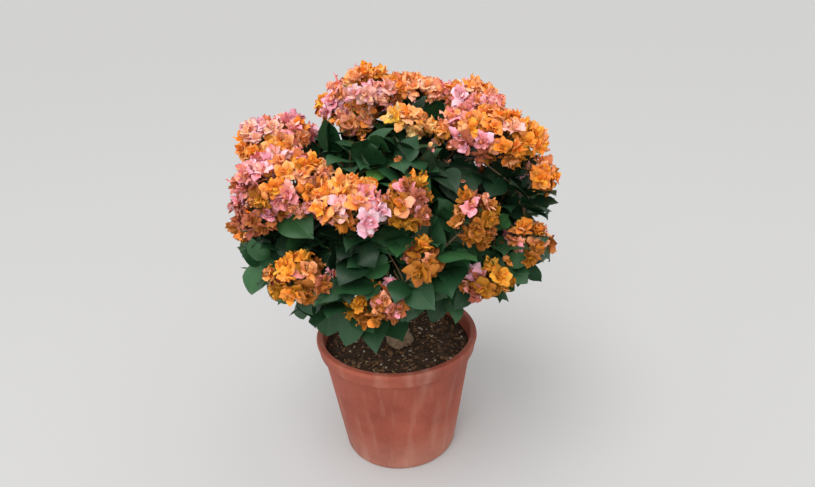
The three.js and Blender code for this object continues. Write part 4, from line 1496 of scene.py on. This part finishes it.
rng = np.random.default_rng(4242)
p, blade_foot = leaf_mesh(leaf_at, leaf_dir, leaf_up, leaf_size, rng)
n = len(leaf_at)
tris = (LTRIS[None] + (np.arange(n) * len(LT))[:, None, None]).reshape(-1, 3)
shade = np.clip(leaf_age_and_shade + rng.normal(0, 0.16, n), 0, 0.95)
kind = np.select([shade < 0.1, shade < 0.24, shade < 0.40, shade < 0.56, shade < 0.74], [1, 2, 3, 4, 5], 6)
kind = np.where(leaf_size > 30, np.minimum(kind, 3), kind)
# leaves aged down by the painted shade take the darkest green, leaf_shade
kind = np.where(leaf_age_and_shade < -0.12, 0, kind)
slots = np.where(LLANE[None, :] == 3, np.minimum(kind[:, None] + 1, 7), kind[:, None]).ravel()
uv = np.tile(np.stack([LU * 0.49 + 0.5, LT * 0.98 + 0.01], 1), (n, 1))
parts = max(1, math.ceil(len(tris) / 185000))
cuts = np.array_split(np.arange(n), parts)
for g, sel in enumerate(cuts):
    m = len(sel)
    t = (LTRIS[None] + (np.arange(m) * len(LT))[:, None, None]).reshape(-1, 3)
    s = slots.reshape(n, -1)[sel].ravel()
    q = uv.reshape(n, -1, 2)[sel].reshape(-1, 2)
    ob = new_piece("leaves_%d" % (g + 1), p[sel].reshape(-1, 3) * MM, t, LEAF_MATERIALS, s, q)
    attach(ob, "root")
    if g == 0:
        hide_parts(*["leaf_mass_" + m_.name for m_ in LEAVES])
print("leaf triangles", len(tris))
for a, b, f in zip(leaf_at, leaf_dir, blade_foot):
    twigs.add([a, (a + f) / 2 + (0, 0, 0.3), f + b * 1.0], [0.75, 0.6, 0.55], 4, 1, cap=False)

v, t, s = twigs.mesh()
print("twig triangles", len(t))
ob = new_piece("twigs", v * MM, t, [m_twig_old, m_twig_green, m_twig_red], s)
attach(ob, "root")

# =====================================================================================
# Floor, light and colour
# =====================================================================================
floor_me = bpy.data.meshes.new("floor")
floor_me.from_pydata([(-30, -30, 0), (30, -30, 0), (30, 30, 0), (-30, 30, 0)], [], [(0, 1, 2, 3)])
floor_ob = bpy.data.objects.new("floor", floor_me)
bpy.context.scene.collection.objects.link(floor_ob)
fm, nt, p = base_material("floor", (0.485, 0.492, 0.500), 0.9, 0.1)
floor_me.materials.append(fm)
floor_ob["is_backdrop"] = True

world = bpy.data.worlds.new("soft")
bpy.context.scene.world = world
world.use_nodes = True
bg = world.node_tree.nodes["Background"]
bg.inputs["Color"].default_value = (1.0, 0.98, 0.955, 1)
bg.inputs["Strength"].default_value = 0.965


def lamp(name, at, to, size, power, colour=(1, 1, 1)):
    light = bpy.data.lights.new(name, "AREA")
    light.shape, light.size, light.energy, light.color = "DISK", size, power, colour
    ob = bpy.data.objects.new(name, light)
    ob.location = at
    ob.rotation_euler = (Vector(to) - Vector(at)).to_track_quat("-Z", "Y").to_euler()
    bpy.context.scene.collection.objects.link(ob)


sun = bpy.data.lights.new("key", "SUN")
sun.energy, sun.angle, sun.color = 1.2, math.radians(35), (1.0, 0.975, 0.965)
sun_ob = bpy.data.objects.new("key", sun)
sun_ob.rotation_euler = Vector((0.38, 0.42, -1.3)).to_track_quat("-Z", "Y").to_euler()
bpy.context.scene.collection.objects.link(sun_ob)
lamp("fill", (-0.5, -2.2, 2.0), (0, 0, 0.5), 1.8, 30, (1.0, 0.985, 0.965))

view = bpy.context.scene.view_settings
view.view_transform = "Standard"
view.look = "None"
view.exposure = 0.0
view.gamma = 1.0

plain(CAD_BOUNDS)
plain(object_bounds())
